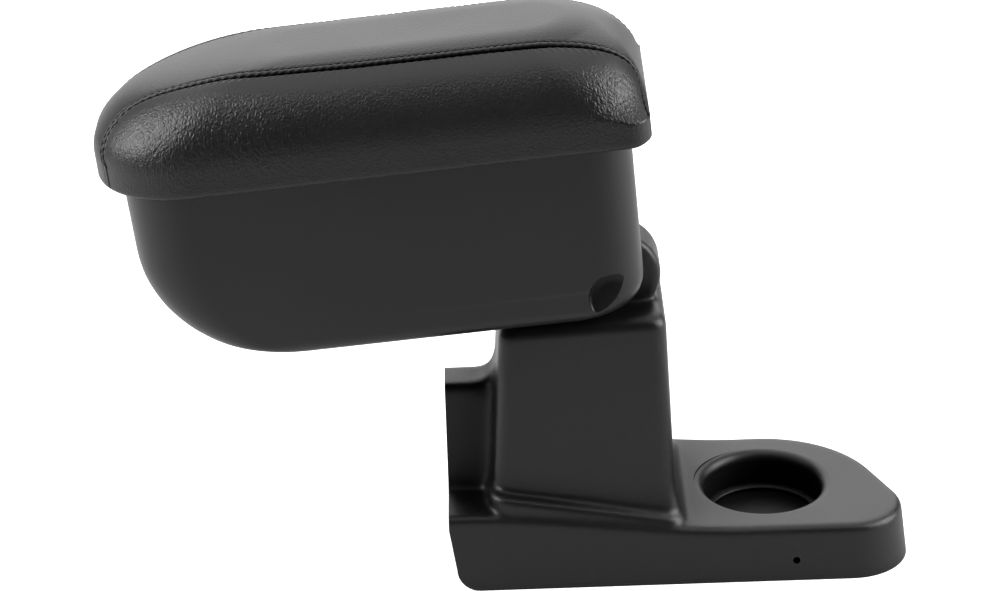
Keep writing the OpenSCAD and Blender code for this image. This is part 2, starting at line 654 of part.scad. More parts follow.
// Steel plate on the box's front rim that the lid's magnets draw down to
catch_x = -box_front + 6.5;
catch_t = 1.2;
catch_rivet_y = 13;
catch_rivet_r = 1.2;
magnet_y = 7;
magnet_seat = 1;
module catch_plate() {
  color(steel_colour) arm_frame() difference() {
    translate([catch_x - 4.5, -catch_len / 2, box_rim_h]) cube([9, catch_len, catch_t]);
    for (y = [-1, 1]) translate([catch_x, y * catch_rivet_y, box_rim_h - e])
      cylinder(r = catch_rivet_r + 0.02, h = catch_t + 2 * e);
  }
}
module catch_rivets() {
  color([0.7, 0.7, 0.7]) arm_frame() for (y = [-1, 1]) translate([catch_x, y * catch_rivet_y, 0]) {
    translate([0, 0, box_rim_h - box_t - 0.2]) cylinder(r = catch_rivet_r, h = box_t + catch_t + 0.2);
    translate([0, 0, box_rim_h - box_t - 1]) cylinder(r1 = 1.8, r2 = 2.4, h = 1);
  }
}
module catch_magnets() {
  color(steel_colour) arm_frame() for (y = [-1, 1])
    translate([catch_x, y * magnet_y, box_rim_h + catch_t + gap])
      cylinder(r = magnet_r, h = tray_z + magnet_seat - box_rim_h - catch_t - gap);
}

// Lid hinge

rivet_z = box_rim_h - 12;
rivet_ys = [-24, 0, 24];
knuckle_n = 5;
knuckle_pitch = hinge_len / knuckle_n;
knuckle_len = knuckle_pitch - 0.3;
knuckle_foot_z = hinge_z - knuckle_r;
// Start of knuckle i along Y
function knuckle_y(i) = -hinge_len / 2 + i * knuckle_pitch + 0.15;
// Knuckles of one hinge leaf: every second one, starting with first
module knuckles(first) {
  for (i = [first:2:knuckle_n - 1])
    bar_y(hinge_x, hinge_z, knuckle_r, knuckle_y(i), knuckle_y(i) + knuckle_len);
}
module hinge_box_leaf() {
  leaf_x = box_rear + 0.1;
  color(steel_colour) arm_frame() difference() {
    union() {
      knuckles(0);
      translate([leaf_x, -hinge_len / 2, rivet_z - 5])
        cube([leaf_t, hinge_len, knuckle_foot_z + leaf_t - rivet_z + 5]);
      for (i = [0:2:knuckle_n - 1]) translate([leaf_x, knuckle_y(i), knuckle_foot_z])
        cube([hinge_x - leaf_x, knuckle_len, leaf_t]);
    }
    bar_y(hinge_x, hinge_z, hinge_pin_r + 0.05, -100, 100);
    for (y = rivet_ys) bar_x(rivet_z, y, 1.6, box_rear - 3, box_rear + 8);
  }
}
module hinge_lid_leaf() {
  color(steel_colour) arm_frame() difference() {
    union() {
      knuckles(1);
      translate([-6, -hinge_len / 2, tray_z - leaf_t]) cube([hinge_x + 6, hinge_len, leaf_t]);
      for (i = [1:2:knuckle_n - 1]) translate([hinge_x - 1, knuckle_y(i), hinge_z])
        cube([2, knuckle_len, tray_z - hinge_z]);
    }
    bar_y(hinge_x, hinge_z, hinge_pin_r + 0.02, -100, 100);
    for (i = [0:2:knuckle_n - 1]) bar_y(hinge_x, hinge_z, knuckle_r + 0.5,
      knuckle_y(i) - 0.35, knuckle_y(i) + knuckle_len + 0.35);
    for (y = rivet_ys) translate([0, y * 1.1, tray_z - 5]) cylinder(d = 3.2, h = 10);
  }
}
module hinge_pin() {
  color([0.7, 0.7, 0.7]) arm_frame()
    bar_y(hinge_x, hinge_z, hinge_pin_r, -hinge_len / 2 - 1, hinge_len / 2 + 1);
}
module hinge_rivets() {
  color([0.7, 0.7, 0.7]) arm_frame() for (y = rivet_ys) {
    bar_x(rivet_z, y, 1.58, box_rear - box_t - 1, box_rear + leaf_t + 0.2);
    translate([box_rear + 0.1 + leaf_t, y, rivet_z]) rotate([0, 90, 0]) cylinder(r1 = 3, r2 = 2, h = 1.3);
    translate([box_rear - box_t - 1.6, y, rivet_z]) rotate([0, 90, 0]) cylinder(r1 = 2, r2 = 2.8, h = 1.2);
  }
}

// Lid

// Share by which the crown is drawn in at the share v of its height, for the exponent k
function drawn_in(v, k) = 1 - pow(max(0, 1 - pow(v, k)), 1 / k);
// Ring of the lid's outside at the height h above its lower edge, drawn in by d
lid_side_h = 14.5;
crown_front = 77.5;
crown_rear = 39;
crown_side = 34;
function lid_ring(h, d) = let (
    v = min(1, max(0, (h - lid_side_h) / (lid_h - lid_side_h))),
    low = max(0, 1 - h / 6),
    tuck = 2.2 * low * low,
    x0 = -lid_front + d + drawn_in(v, 2.06) * crown_front + tuck,
    x1 = lid_rear - d - drawn_in(v, 1.3) * crown_rear - tuck * 0.4,
    hw = lid_hw - d - drawn_in(v, 1.94) * crown_side - tuck)
  at_z(plan(x0, x1, hw, min(lid_rear_r - d, hw - 1), min(lid_front_r - d, hw - 1), 8), lid_low + h);
// Levels of those rings, as shares of the lid's height
lid_levels = [0, 0.05, 0.12, 0.25, 0.37, 0.5, 0.63, 0.75, 0.84, 0.91, 0.955, 0.985, 1];
module lid_core(d, low) {
  loft(concat([lid_ring(low, d)], [for (u = lid_levels) let (g = u * lid_h)
    if (g > low + 1) [for (p = lid_ring(g, d)) [p[0], p[1], p[2] - d * (g - low) / (lid_h - low)]]]));
}
module lid_cover_all() {
  difference() {
    lid_core(0, 0);
    lid_core(cover_t, -2);
  }
}
module cover_top_panel() {
  color(leather_colour) arm_frame() intersection() {
    lid_cover_all();
    translate([-400, -seam_gap / 2, 0]) cube([600, seam_gap, 300]);
  }
}
module cover_side(s) {
  color(leather_colour) arm_frame() intersection() {
    lid_cover_all();
    translate([-400, s > 0 ? seam_gap / 2 : -seam_gap / 2 - 100, 0]) cube([600, 100, 300]);
  }
}
module cover_left_panel() { cover_side(-1); }
module cover_right_panel() { cover_side(1); }
tray_in = cover_t + 0.2;
skirt_t = tray_t + 2.2;
foam_low = tray_z + tray_t - lid_low;
module lid_foam() {
  color([0.75, 0.72, 0.55]) arm_frame() lid_core(cover_t + 0.5, foam_low);
}
// Moulded tray that carries the foam, with a skirt round the box's rim
module lid_tray() {
  color([0.12, 0.12, 0.125]) arm_frame() difference() {
    intersection() {
      lid_core(tray_in, -2);
      translate([-400, -100, lid_low]) cube([600, 200, tray_z + tray_t - lid_low]);
    }
    translate([0, 0, lid_low - 3]) linear_extrude(tray_z - lid_low + 3) polygon(plan(
      -lid_front + tray_in + skirt_t, lid_rear - tray_in - 2,
      lid_hw - tray_in - skirt_t, lid_rear_r - 6, lid_front_r - 11, 8));
    for (y = rivet_ys) translate([0, y * 1.1, tray_z - 5]) cylinder(d = 3.16, h = 10);
    for (x = liner_screw_xs) for (y = [-1, 1]) translate([x, y * liner_screw_y, tray_z - 5])
      cylinder(d = 3.02, h = 12);
    for (y = [-1, 1]) translate([catch_x, y * magnet_y, tray_z - e])
      cylinder(r = magnet_r + 0.02, h = magnet_seat + e);
    translate([box_rear + e, -hinge_len / 2 - 3, lid_low - 3])
      cube([20, hinge_len + 6, tray_z - lid_low + 3]);
  }
}
liner_screw_xs = [-240, -30];
liner_screw_y = 36;
module lid_liner() {
  t = 2.6;
  color([0.17, 0.17, 0.17]) arm_frame() difference() {
    translate([0, 0, tray_z - t]) linear_extrude(t) polygon(plan(
      -box_front + box_t + rim_flange_w + 1.5, -12, liner_hw, 12, 12));
    for (x = liner_screw_xs) for (y = [-1, 1]) translate([x, y * liner_screw_y, tray_z - 5])
      cylinder(d = 3.2, h = 12);
  }
}
module liner_screws() {
  color(steel_colour) arm_frame() for (x = liner_screw_xs) for (y = [-1, 1])
    translate([x, y * liner_screw_y, tray_z - 2.6]) {
      rotate([180, 0, 0]) cylinder(d1 = 6, d2 = 4.4, h = 1.6);
      translate([0, 0, -0.2]) cylinder(d = 3, h = 2.6 + tray_t + 0.2);
    }
}
// Small rubber stops under the tray that land on the box's rim flange
module lid_buffers() {
  color([0.1, 0.1, 0.1]) arm_frame() for (x = [-box_front + 26, -22]) for (y = [-1, 1])
    translate([x, y * (box_w / 2 - box_t - rim_flange_w / 2), box_rim_h + gap])
      cylinder(r = 3.5, h = tray_z - box_rim_h - gap);
}

console_shell();
post_plate_left();
post_plate_right();
post_tie_bolt();
post_spacers();
pivot_bushes();
rest_buffers();
box_shell();
box_yoke();
yoke_screws();
pivot_bolt();
pivot_washers();
pivot_nut();
pivot_hood();
hood_screws();
box_mat();
catch_plate();
catch_rivets();
hinge_box_leaf();
hinge_pin();
hinge_rivets();
lid_tray();
lid_liner();
liner_screws();
lid_buffers();
catch_magnets();
hinge_lid_leaf();
lid_foam();
cover_top_panel();
cover_left_panel();
cover_right_panel();
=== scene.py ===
"""Looks of a car centre armrest, built round its CAD frame. Every size is in metres."""

import json
import math

import bpy
import numpy as np
from mathutils import Matrix, Vector


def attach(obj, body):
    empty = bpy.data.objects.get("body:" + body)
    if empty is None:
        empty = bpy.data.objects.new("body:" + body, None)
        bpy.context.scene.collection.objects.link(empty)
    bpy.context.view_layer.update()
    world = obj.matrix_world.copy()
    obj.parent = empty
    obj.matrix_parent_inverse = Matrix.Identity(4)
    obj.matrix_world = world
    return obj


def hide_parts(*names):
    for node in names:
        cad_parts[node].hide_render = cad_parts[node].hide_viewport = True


bl_info = {
    "name": "Car centre armrest",
    "version": (1, 0, 0),
    "blender": (4, 5, 0),
    "location": "View3D > Sidebar > Armrest",
    "description": "Builds the padded lid, the box and the floor console of a car centre armrest",
    "category": "Object",
}

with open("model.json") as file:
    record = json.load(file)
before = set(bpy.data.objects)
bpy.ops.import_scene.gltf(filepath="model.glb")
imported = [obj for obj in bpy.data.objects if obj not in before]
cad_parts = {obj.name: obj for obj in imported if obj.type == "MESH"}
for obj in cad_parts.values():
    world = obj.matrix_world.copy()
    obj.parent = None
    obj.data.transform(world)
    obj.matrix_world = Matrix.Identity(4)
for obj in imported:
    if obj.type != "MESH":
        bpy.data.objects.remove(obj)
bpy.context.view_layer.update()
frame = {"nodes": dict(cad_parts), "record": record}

# The arm's own frame: origin on the pivot, x along the arm to the rear, tilted with the arm
PIVOT = (0.020, 0.0, 0.189)
TILT = math.radians(5.0)
MM = 0.001


class ArmrestSizes(bpy.types.PropertyGroup):
    """Sizes that shape the pieces made here."""

    seam_half: bpy.props.FloatProperty(
        name="Seam half distance", description="Distance of each lid seam from the middle plane",
        default=0.038, min=0.03, max=0.045, unit="LENGTH")
    stitch_length: bpy.props.FloatProperty(
        name="Stitch length", description="Length of one stitch along the lid's seams",
        default=0.0042, min=0.002, max=0.008, unit="LENGTH")
    stitch_radius: bpy.props.FloatProperty(
        name="Thread radius", description="Radius of the sewing thread",
        default=0.0004, min=0.0002, max=0.001, unit="LENGTH")


class ArmrestFinish(bpy.types.PropertyGroup):
    """Colours of the visible materials."""

    leather: bpy.props.FloatVectorProperty(
        name="Leatherette", description="Colour of the lid's cover", subtype="COLOR",
        default=(0.0065, 0.0063, 0.0067), size=3, min=0.0, max=1.0)
    box: bpy.props.FloatVectorProperty(
        name="Box plastic", description="Colour of the storage box", subtype="COLOR",
        default=(0.0035, 0.0033, 0.0036), size=3, min=0.0, max=1.0)
    console: bpy.props.FloatVectorProperty(
        name="Console plastic", description="Colour of the formed console", subtype="COLOR",
        default=(0.0065, 0.0062, 0.0067), size=3, min=0.0, max=1.0)


# Shader helpers

def add_node(tree, kind, inputs=None, **settings):
    """A shader node of one kind with its settings.  Its inputs, by name or number, are linked to
    sockets or set to values."""
    node = tree.nodes.new("ShaderNode" + kind)
    for name, value in settings.items():
        setattr(node, name, value)
    for key, value in (inputs or {}).items():
        if isinstance(value, bpy.types.NodeSocket):
            tree.links.new(value, node.inputs[key])
        else:
            node.inputs[key].default_value = value
    return node


def math_node(tree, operation, *values, clamp=False):
    """Output of a Math node whose inputs are sockets or plain numbers."""
    return add_node(tree, "Math", dict(enumerate(values)), operation=operation, use_clamp=clamp).outputs[0]


def colour_mix(tree, fac, a, b):
    """Mixes two colours, given as sockets or plain triples, by fac."""
    a, b = ((*side, 1.0) if isinstance(side, tuple) else side for side in (a, b))
    return add_node(tree, "Mix", {"Factor": fac, 6: a, 7: b}, data_type="RGBA").outputs[2]


def new_group(name, inputs, outputs):
    """An empty shader node group with number sockets, the inputs with their usual values."""
    group = bpy.data.node_groups.new(name, "ShaderNodeTree")
    for label, value in inputs.items():
        socket = group.interface.new_socket(name=label, in_out="INPUT", socket_type="NodeSocketFloat")
        socket.default_value = value
    for label in outputs:
        group.interface.new_socket(name=label, in_out="OUTPUT", socket_type="NodeSocketFloat")
    return group, group.nodes.new("NodeGroupInput").outputs, group.nodes.new("NodeGroupOutput").inputs


def edge_cells(tree, place, scale, reach):
    """Rounded cells: a smooth step of the distance to the borders of a Voronoi pattern."""
    cells = add_node(tree, "TexVoronoi", {"Vector": place, "Scale": scale}, feature="DISTANCE_TO_EDGE")
    return add_node(tree, "MapRange", {"Value": cells.outputs["Distance"], "From Max": reach},
                    interpolation_type="SMOOTHSTEP").outputs["Result"]


def grain_group():
    """Pebbled grain: the distance to the borders of Voronoi cells on a slightly warped position,
    rounded off by a smooth step, plus a weaker layer of half the size."""
    name = "Moulded grain"
    if name in bpy.data.node_groups:
        return bpy.data.node_groups[name]
    group, gin, gout = new_group(
        name, {"Cells per metre": 900.0, "Warp": 0.4, "Fine share": 0.35}, ["Height", "Valley"])
    place = add_node(group, "TexCoord").outputs["Object"]
    coarse = math_node(group, "MULTIPLY", gin["Cells per metre"], 0.6)
    noise = add_node(group, "TexNoise", {"Vector": place, "Scale": coarse, "Detail": 2.0})
    warp = math_node(group, "DIVIDE", gin["Warp"], gin["Cells per metre"])
    scaled = add_node(group, "VectorMath", {0: noise.outputs["Color"], "Scale": warp}, operation="SCALE")
    moved = add_node(group, "VectorMath", {0: place, 1: scaled.outputs[0]}, operation="ADD")
    layers = []
    for factor in (1.0, 2.3):
        scale = math_node(group, "MULTIPLY", gin["Cells per metre"], factor)
        layers.append(edge_cells(group, moved.outputs[0], scale, 0.26))
    fine = math_node(group, "MULTIPLY", layers[1], gin["Fine share"])
    group.links.new(math_node(group, "ADD", layers[0], fine), gout["Height"])
    group.links.new(math_node(group, "SUBTRACT", 1.0, layers[0], clamp=True), gout["Valley"])
    return group


def dust_group():
    """Sparse pale specks: small spheres in random cells of a Voronoi pattern, kept by a threshold
    on each cell's own colour, and a faint cloudy film from noise."""
    name = "Dust and film"
    if name in bpy.data.node_groups:
        return bpy.data.node_groups[name]
    group, gin, gout = new_group(name, {"Specks per metre": 120.0, "Amount": 0.05}, ["Specks", "Film"])
    place = add_node(group, "TexCoord").outputs["Object"]
    cells = add_node(group, "TexVoronoi", {"Vector": place, "Scale": gin["Specks per metre"]})
    dot = add_node(group, "MapRange", {"Value": cells.outputs["Distance"], "From Min": 0.045,
                                       "From Max": 0.025})
    parts = add_node(group, "SeparateColor", {"Color": cells.outputs["Color"]})
    kept = math_node(group, "LESS_THAN", parts.outputs["Red"], gin["Amount"])
    group.links.new(math_node(group, "MULTIPLY", dot.outputs["Result"], kept), gout["Specks"])
    noise = add_node(group, "TexNoise", {"Vector": place, "Scale": 14.0, "Detail": 5.0})
    film = add_node(group, "MapRange", {"Value": noise.outputs["Fac"], "From Min": 0.35, "From Max": 0.75})
    group.links.new(film.outputs["Result"], gout["Film"])
    return group


def leather_group():
    """Leatherette's relief: pebbles from the borders of Voronoi cells, weighted by Grain, upright
    creases from cells drawn out along Z, weighted by Crease, and a weak fine grain everywhere."""
    name = "Leatherette relief"
    if name in bpy.data.node_groups:
        return bpy.data.node_groups[name]
    group, gin, gout = new_group(name, {"Grain": 1.0, "Crease": 0.0}, ["Height"])
    place = add_node(group, "TexCoord").outputs["Object"]
    wave = add_node(group, "TexNoise", {"Vector": place, "Scale": 260.0})
    moved = add_node(group, "VectorMath", {0: wave.outputs["Color"], 1: (0.0022, 0.0022, 0.0022), 2: place},
                     operation="MULTIPLY_ADD")
    heights = []
    for stretch, reach in (((480, 480, 430), 0.34), ((430, 430, 130), 0.44), ((1300, 1300, 1300), 0.3)):
        drawn = add_node(group, "VectorMath", {0: moved.outputs[0], 1: stretch}, operation="MULTIPLY")
        heights.append(edge_cells(group, drawn.outputs[0], 1.0, reach))
    pebbles = math_node(group, "MULTIPLY", heights[0], gin["Grain"])
    folds = math_node(group, "MULTIPLY", heights[1], gin["Crease"])
    fine_share, fold_depth = 0.14, 1.8
    fine = math_node(group, "MULTIPLY", heights[2], fine_share)
    both = math_node(group, "ADD", pebbles, math_node(group, "MULTIPLY", folds, fold_depth))
    group.links.new(math_node(group, "ADD", both, fine), gout["Height"])
    return group


def new_finish(name):
    """The node tree and the shader of a new material for the slot of that name."""
    material = bpy.data.materials.new("finish_" + name)
    material.use_nodes = True
    return material.node_tree, material.node_tree.nodes["Principled BSDF"]


def coat(tree, shader, film, low, spread, height, depth):
    """Roughness from low up to low + spread on the film, and a bump of a depth in metres."""
    rough = math_node(tree, "ADD", math_node(tree, "MULTIPLY", film, spread), low, clamp=True)
    tree.links.new(rough, shader.inputs["Roughness"])
    bump = add_node(tree, "Bump", {"Height": height, "Distance": depth})
    tree.links.new(bump.outputs["Normal"], shader.inputs["Normal"])


def surface(name, colour, roughness, cells, depth, spread=0.06, dust=0.05, metallic=0.0,
            warp=0.4, hollow=0.0, painted_shade_power=1.6):
    """Material of one finish: the colour lightens on the film and the specks and darkens in the grain's
    valleys, the roughness varies with the film, and the bump is the grain.  With a hollow, the reach in
    metres of an ambient occlusion, painted shade darkens the colour and the specular level in the
    piece's inner corners, to the power given as painted_shade_power."""
    tree, shader = new_finish(name)
    grain = add_node(tree, "Group", {"Cells per metre": cells, "Warp": warp}, node_tree=grain_group())
    dirt = add_node(tree, "Group", {"Specks per metre": 110.0, "Amount": dust}, node_tree=dust_group())
    dark = tuple(c * 0.72 for c in colour)
    light = tuple(min(1.0, c * 1.18 + 0.001) for c in colour)
    tinted = colour_mix(tree, dirt.outputs["Film"], tuple(colour), light)
    sunk = colour_mix(tree, math_node(tree, "MULTIPLY", grain.outputs["Valley"], 0.7), tinted, dark)
    specked = colour_mix(tree, dirt.outputs["Specks"], sunk, (0.3, 0.29, 0.27))
    if hollow:
        # Painted shade: an ambient occlusion darkens the colour and the specular level in the piece's inner
        # corners
        shade = add_node(tree, "AmbientOcclusion", {"Distance": hollow}, samples=6, only_local=True)
        unshaded_share = math_node(tree, "POWER", shade.outputs["AO"], painted_shade_power)
        tree.links.new(math_node(tree, "MULTIPLY", unshaded_share, 0.37), shader.inputs["Specular IOR Level"])
        specked = colour_mix(tree, unshaded_share, tuple(c * 0.2 for c in colour), specked)
    tree.links.new(specked, shader.inputs["Base Color"])
    shader.inputs["Metallic"].default_value = metallic
    coat(tree, shader, dirt.outputs["Film"], roughness - spread / 2, spread, grain.outputs["Height"], depth)


def leather(colour):
    """Leatherette: the relief weighted by the mesh's grain and crease values, in a satin black that is
    a little rougher and paler on the cloudy film, and dull and black where the mesh's seam value is 1:
    painted shade in the seam grooves and along the stitched lines."""
    tree, shader = new_finish("leatherette")
    grain, crease, seam = (add_node(tree, "Attribute", attribute_name=label).outputs["Fac"]
                           for label in ("grain", "crease", "seam"))
    relief = add_node(tree, "Group", {"Grain": grain, "Crease": crease}, node_tree=leather_group())
    dirt = add_node(tree, "Group", {"Specks per metre": 60.0, "Amount": 0.012}, node_tree=dust_group())
    light = tuple(min(1.0, c * 1.25 + 0.001) for c in colour)
    tinted = colour_mix(tree, dirt.outputs["Film"], tuple(colour), light)
    specked = colour_mix(tree, dirt.outputs["Specks"], tinted, (0.25, 0.24, 0.23))
    # Painted shade: where the seam value is 1 the colour turns black and the specular level drops to nothing,
    # in the seam grooves and on the stitched lines
    tree.links.new(colour_mix(tree, seam, specked, (0.0, 0.0, 0.0)), shader.inputs["Base Color"])
    gloss = math_node(tree, "MULTIPLY", math_node(tree, "SUBTRACT", 1.0, seam, clamp=True), 0.38)
    tree.links.new(gloss, shader.inputs["Specular IOR Level"])
    coat(tree, shader, dirt.outputs["Film"], 0.38, 0.06, relief.outputs["Height"], 0.00011)


def make_finishes():
    """Makes every finish of the object, each named after the record's material slot."""
    look = bpy.context.scene.armrest_finish
    leather(look.leather)
    # The box and the console get painted shade in their inner corners, over the hollow reach
    surface("box_plastic", look.box, 0.38, 1600.0, 0.000008, 0.08, hollow=0.02)
    surface("console_plastic", look.console, 0.36, 1500.0, 0.000025, 0.08, 0.04, hollow=0.06, painted_shade_power=2.1)
    surface("foam", (0.55, 0.5, 0.32), 0.9, 700.0, 0.0003)
    surface("mat_felt", (0.03, 0.03, 0.032), 0.92, 2600.0, 0.0003, warp=2.0)
    surface("rubber", (0.02, 0.02, 0.02), 0.7, 1300.0, 0.00003)
    surface("nylon", (0.7, 0.68, 0.6), 0.45, 2000.0, 0.00001)
    surface("zinc_steel", (0.55, 0.56, 0.58), 0.38, 450.0, 0.000015, 0.16, metallic=1.0)
    surface("black_steel", (0.03, 0.03, 0.03), 0.42, 2200.0, 0.00001)


def dress(obj, slot):
    """Gives a new piece or a CAD node the finish of a material slot; the first call makes them all."""
    if "finish_" + slot not in bpy.data.materials:
        make_finishes()
    material = bpy.data.materials["finish_" + slot]
    if obj.material_slots:
        for held in obj.material_slots:
            held.material = material
    else:
        obj.data.materials.append(material)


# Surfaces

def smooth_step(t):
    """0 below 0, 1 above 1, and 3t^2 - 2t^3 between."""
    t = np.clip(t, 0.0, 1.0)
    return t * t * (3.0 - 2.0 * t)


def quarter(n):
    """The angles of n even points on a quarter circle."""
    return np.linspace(0.0, math.pi / 2, n)


def around(n):
    """The angles of n even steps round a circle."""
    return np.linspace(0.0, 2 * math.pi, n, endpoint=False)


def bell(t):
    """A Gaussian: e to the power of minus t squared."""
    return np.exp(-t ** 2)


def unit(vectors):
    """Each vector divided by its length."""
    return vectors / np.maximum(np.linalg.norm(vectors, axis=-1, keepdims=True), 1e-9)


def rounded_plan(x0, x1, half_width, r_rear, r_front):
    """Outline of a rectangle with rounded corners, anticlockwise from above: four quarter circles
    joined by straight lines, the corners at the x1 end of radius r_rear, at the x0 end of r_front."""
    a = quarter(12)
    corners = ((x1 - r_rear, half_width - r_rear, 0.0, r_rear),
               (x0 + r_front, half_width - r_front, 0.5, r_front),
               (x0 + r_front, r_front - half_width, 1.0, r_front),
               (x1 - r_rear, r_rear - half_width, 1.5, r_rear))
    return np.concatenate([np.stack([cx + r * np.cos(a + q * math.pi), cy + r * np.sin(a + q * math.pi)], 1)
                           for cx, cy, q, r in corners])


def ring_at(outline, z):
    """A plan outline with the height z, a number or one for each point."""
    return np.column_stack([outline, np.broadcast_to(z, len(outline))])


def ring_faces(m, n, closed=True):
    """Quads between m rings of n points, facing outwards when the rings rise anticlockwise."""
    i, j = np.meshgrid(np.arange(m - 1), np.arange(n if closed else n - 1), indexing="ij")
    i, j = i.ravel(), j.ravel()
    k = (j + 1) % n
    return np.column_stack([i * n + j, i * n + k, (i + 1) * n + k, (i + 1) * n + j])


def new_mesh(name, points, faces):
    """A linked mesh object from an array of points in mm and a list of faces."""
    mesh = bpy.data.meshes.new(name)
    mesh.from_pydata((np.asarray(points) * MM).tolist(), [], [list(map(int, f)) for f in faces])
    mesh.update()
    obj = bpy.data.objects.new(name, mesh)
    bpy.context.scene.collection.objects.link(obj)
    return obj


def loft(name, rings, strips=False):
    """Closed solid through rings of equal length, listed from the bottom up: quads between the rings,
    and flat ends as one face, or as strips across y where a ring's first half mirrors its second."""
    rings = np.asarray(rings)
    m, n = rings.shape[:2]
    faces = [list(f) for f in ring_faces(m, n)]
    top = (m - 1) * n
    if strips:
        half = n // 2
        for j in range(half - 1):
            faces.append([top + j, top + j + 1, top + n - 2 - j, top + n - 1 - j])
            faces.append([n - 1 - j, n - 2 - j, j + 1, j])
    else:
        faces.append(list(range(n - 1, -1, -1)))
        faces.append(list(range(top, top + n)))
    return new_mesh(name, rings.reshape(-1, 3), faces)


def to_arm(points):
    """From the arm's own frame, in mm, to the object's frame: turned by the tilt about the pivot."""
    p = np.asarray(points, float)
    c, s = math.cos(TILT), math.sin(TILT)
    x, z = p[..., 0], p[..., 2]
    return np.stack([PIVOT[0] / MM + x * c - z * s, p[..., 1], PIVOT[2] / MM + x * s + z * c], -1)


def cylinder_y(name, x, z, radius, y0, y1, arm=False):
    """Closed cylinder along Y, also in the arm's frame: a circle swept from y0 to y1."""
    a = around(64)
    circle = np.stack([x + radius * np.cos(a), np.zeros(64), z - radius * np.sin(a)], 1)
    rings = np.stack([circle + (0, y0, 0), circle + (0, y1, 0)])
    return loft(name, to_arm(rings) if arm else rings)


def extruded(name, outline, half):
    """Closed solid with one outline in x and z, from half to -half in y."""
    x, z = outline.T
    return loft(name, [np.column_stack([x, np.full(len(x), y), z]) for y in (half, -half)])


def box_cutter(name, low, high, arm=False):
    """Closed block between two corners, in mm, upright or in the arm's frame."""
    (a, b, c), (d, e, f) = low, high
    rings = np.array([[(a, b, z), (d, b, z), (d, e, z), (a, e, z)] for z in (c, f)], float)
    return loft(name, to_arm(rings) if arm else rings)


def apply_modifiers(obj):
    """Replaces the object's mesh by what its modifiers make of it."""
    view = bpy.context.evaluated_depsgraph_get()
    view.update()
    mesh = bpy.data.meshes.new_from_object(obj.evaluated_get(view))
    old = obj.data
    obj.modifiers.clear()
    obj.data = mesh
    bpy.data.meshes.remove(old)
    mesh.name = obj.name


def cut(obj, *others):
    """Cuts each of the others in turn out of obj, and removes them."""
    for other in others:
        step = obj.modifiers.new("cut", "BOOLEAN")
        step.operation = "DIFFERENCE"
        step.solver = "MANIFOLD"
        step.object = other
        apply_modifiers(obj)
        mesh = other.data
        bpy.data.objects.remove(other)
        bpy.data.meshes.remove(mesh)


def remesh(obj, voxel):
    """One even skin round overlapping solids, from a voxel grid in mm."""
    step = obj.modifiers.new("voxels", "REMESH")
    step.mode = "VOXEL"
    step.voxel_size = voxel * MM
    step.use_smooth_shade = True
    apply_modifiers(obj)


def join(first, *others):
    """Puts several objects' faces into the first one's mesh."""
    with bpy.context.temp_override(active_object=first, selected_editable_objects=[first, *others]):
        bpy.ops.object.join()
    return first


def fill_hollows(obj, rounds, low=None, high=None):
    """Relaxes a mesh towards its neighbours' mean, fully where that moves the skin outwards and only by
    12 per cent where it moves inwards, so that inner corners grow round and outer ones stay.  Between
    the corners low and high, in mm and with y counted from the middle, if given, fading over 6 mm."""
    mesh = obj.data
    n = len(mesh.vertices)
    co = np.empty(n * 3)
    mesh.vertices.foreach_get("co", co)
    co = co.reshape(n, 3)
    edges = np.empty(len(mesh.edges) * 2, int)
    mesh.edges.foreach_get("vertices", edges)
    edges = edges.reshape(-1, 2)
    count = np.bincount(edges.ravel(), minlength=n).astype(float)[:, None]
    share = 1.0
    if low is not None:
        place = np.abs(co * (0, 1, 0)) + co * (1, 0, 1)
        room = np.minimum(place - np.array(low) * MM, np.array(high) * MM - place).min(1)
        share = smooth_step(room / 0.006)[:, None]
    normals = np.empty(n * 3)
    for turn in range(rounds):
        if turn % 6 == 0:
            mesh.vertices.foreach_set("co", co.ravel())
            mesh.update()
            mesh.vertex_normals.foreach_get("vector", normals)
        total = np.stack([np.bincount(edges[:, 0], co[edges[:, 1], k], n)
                          + np.bincount(edges[:, 1], co[edges[:, 0], k], n) for k in range(3)], 1)
        step = total / count - co
        outward = np.sum(step * normals.reshape(n, 3), 1, keepdims=True)
        co += 0.6 * share * step * np.where(outward > 0, 1.0, 0.12)
    mesh.vertices.foreach_set("co", co.ravel())
    mesh.update()


def finish_piece(obj, body, slot, nodes=(), sharp=None):
    """Shades a piece, gives it its finish, and hangs it on the body that its nodes ride on."""
    obj.data.shade_smooth()
    if sharp:
        obj.data.set_sharp_from_angle(angle=math.radians(sharp))
    obj.data.materials.clear()
    dress(obj, slot)
    if nodes:
        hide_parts(*nodes)
    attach(obj, body)


# Console, its sizes in mm in the object's frame

FRONT, REAR, HALF = -81.0, 189.5, 63.5
SLANT = math.radians(22.5)
LEFT_R, RIGHT_R = 37.0, 76.0
INSET, DECK_R = 4.3, 5.0
DECK_FRONT, DECK_FALL = 48.0, 14.0
CUP_X, CUP_R, CUP_FLOOR, CUP_LIP = 111.0, 36.0, 9.5, 6.0
SHEET = 3.0
PLINTH_FRONT, PLINTH_REAR, PLINTH_HALF, PLINTH_R = -56.0, 61.0, 56.5, 12.0
COVER_FOOT, COVER_RISE, COVER_TOP_R, COVER_R = 36.0, 126.5, 8.0, 9.0
SPINE_TOP, SPINE_BACK = 114.0, -36.0
NECK_X, NECK_Z, NECK_R, NECK_HALF = 23.0, 183.0, 26.3, 16.5
FIXING_X, FIXING_Z, FIXING_R = 126.5, 13.0, 2.2
PIVOT_HOLE_R = 10.5
LEFT_C = -HALF + LEFT_R
RIGHT_C = HALF - RIGHT_R
LEFT_X = (REAR * math.cos(SLANT) - LEFT_R - LEFT_C * math.sin(SLANT)) / math.cos(SLANT)
RIGHT_X = (REAR * math.cos(SLANT) - RIGHT_R - RIGHT_C * math.sin(SLANT)) / math.cos(SLANT)


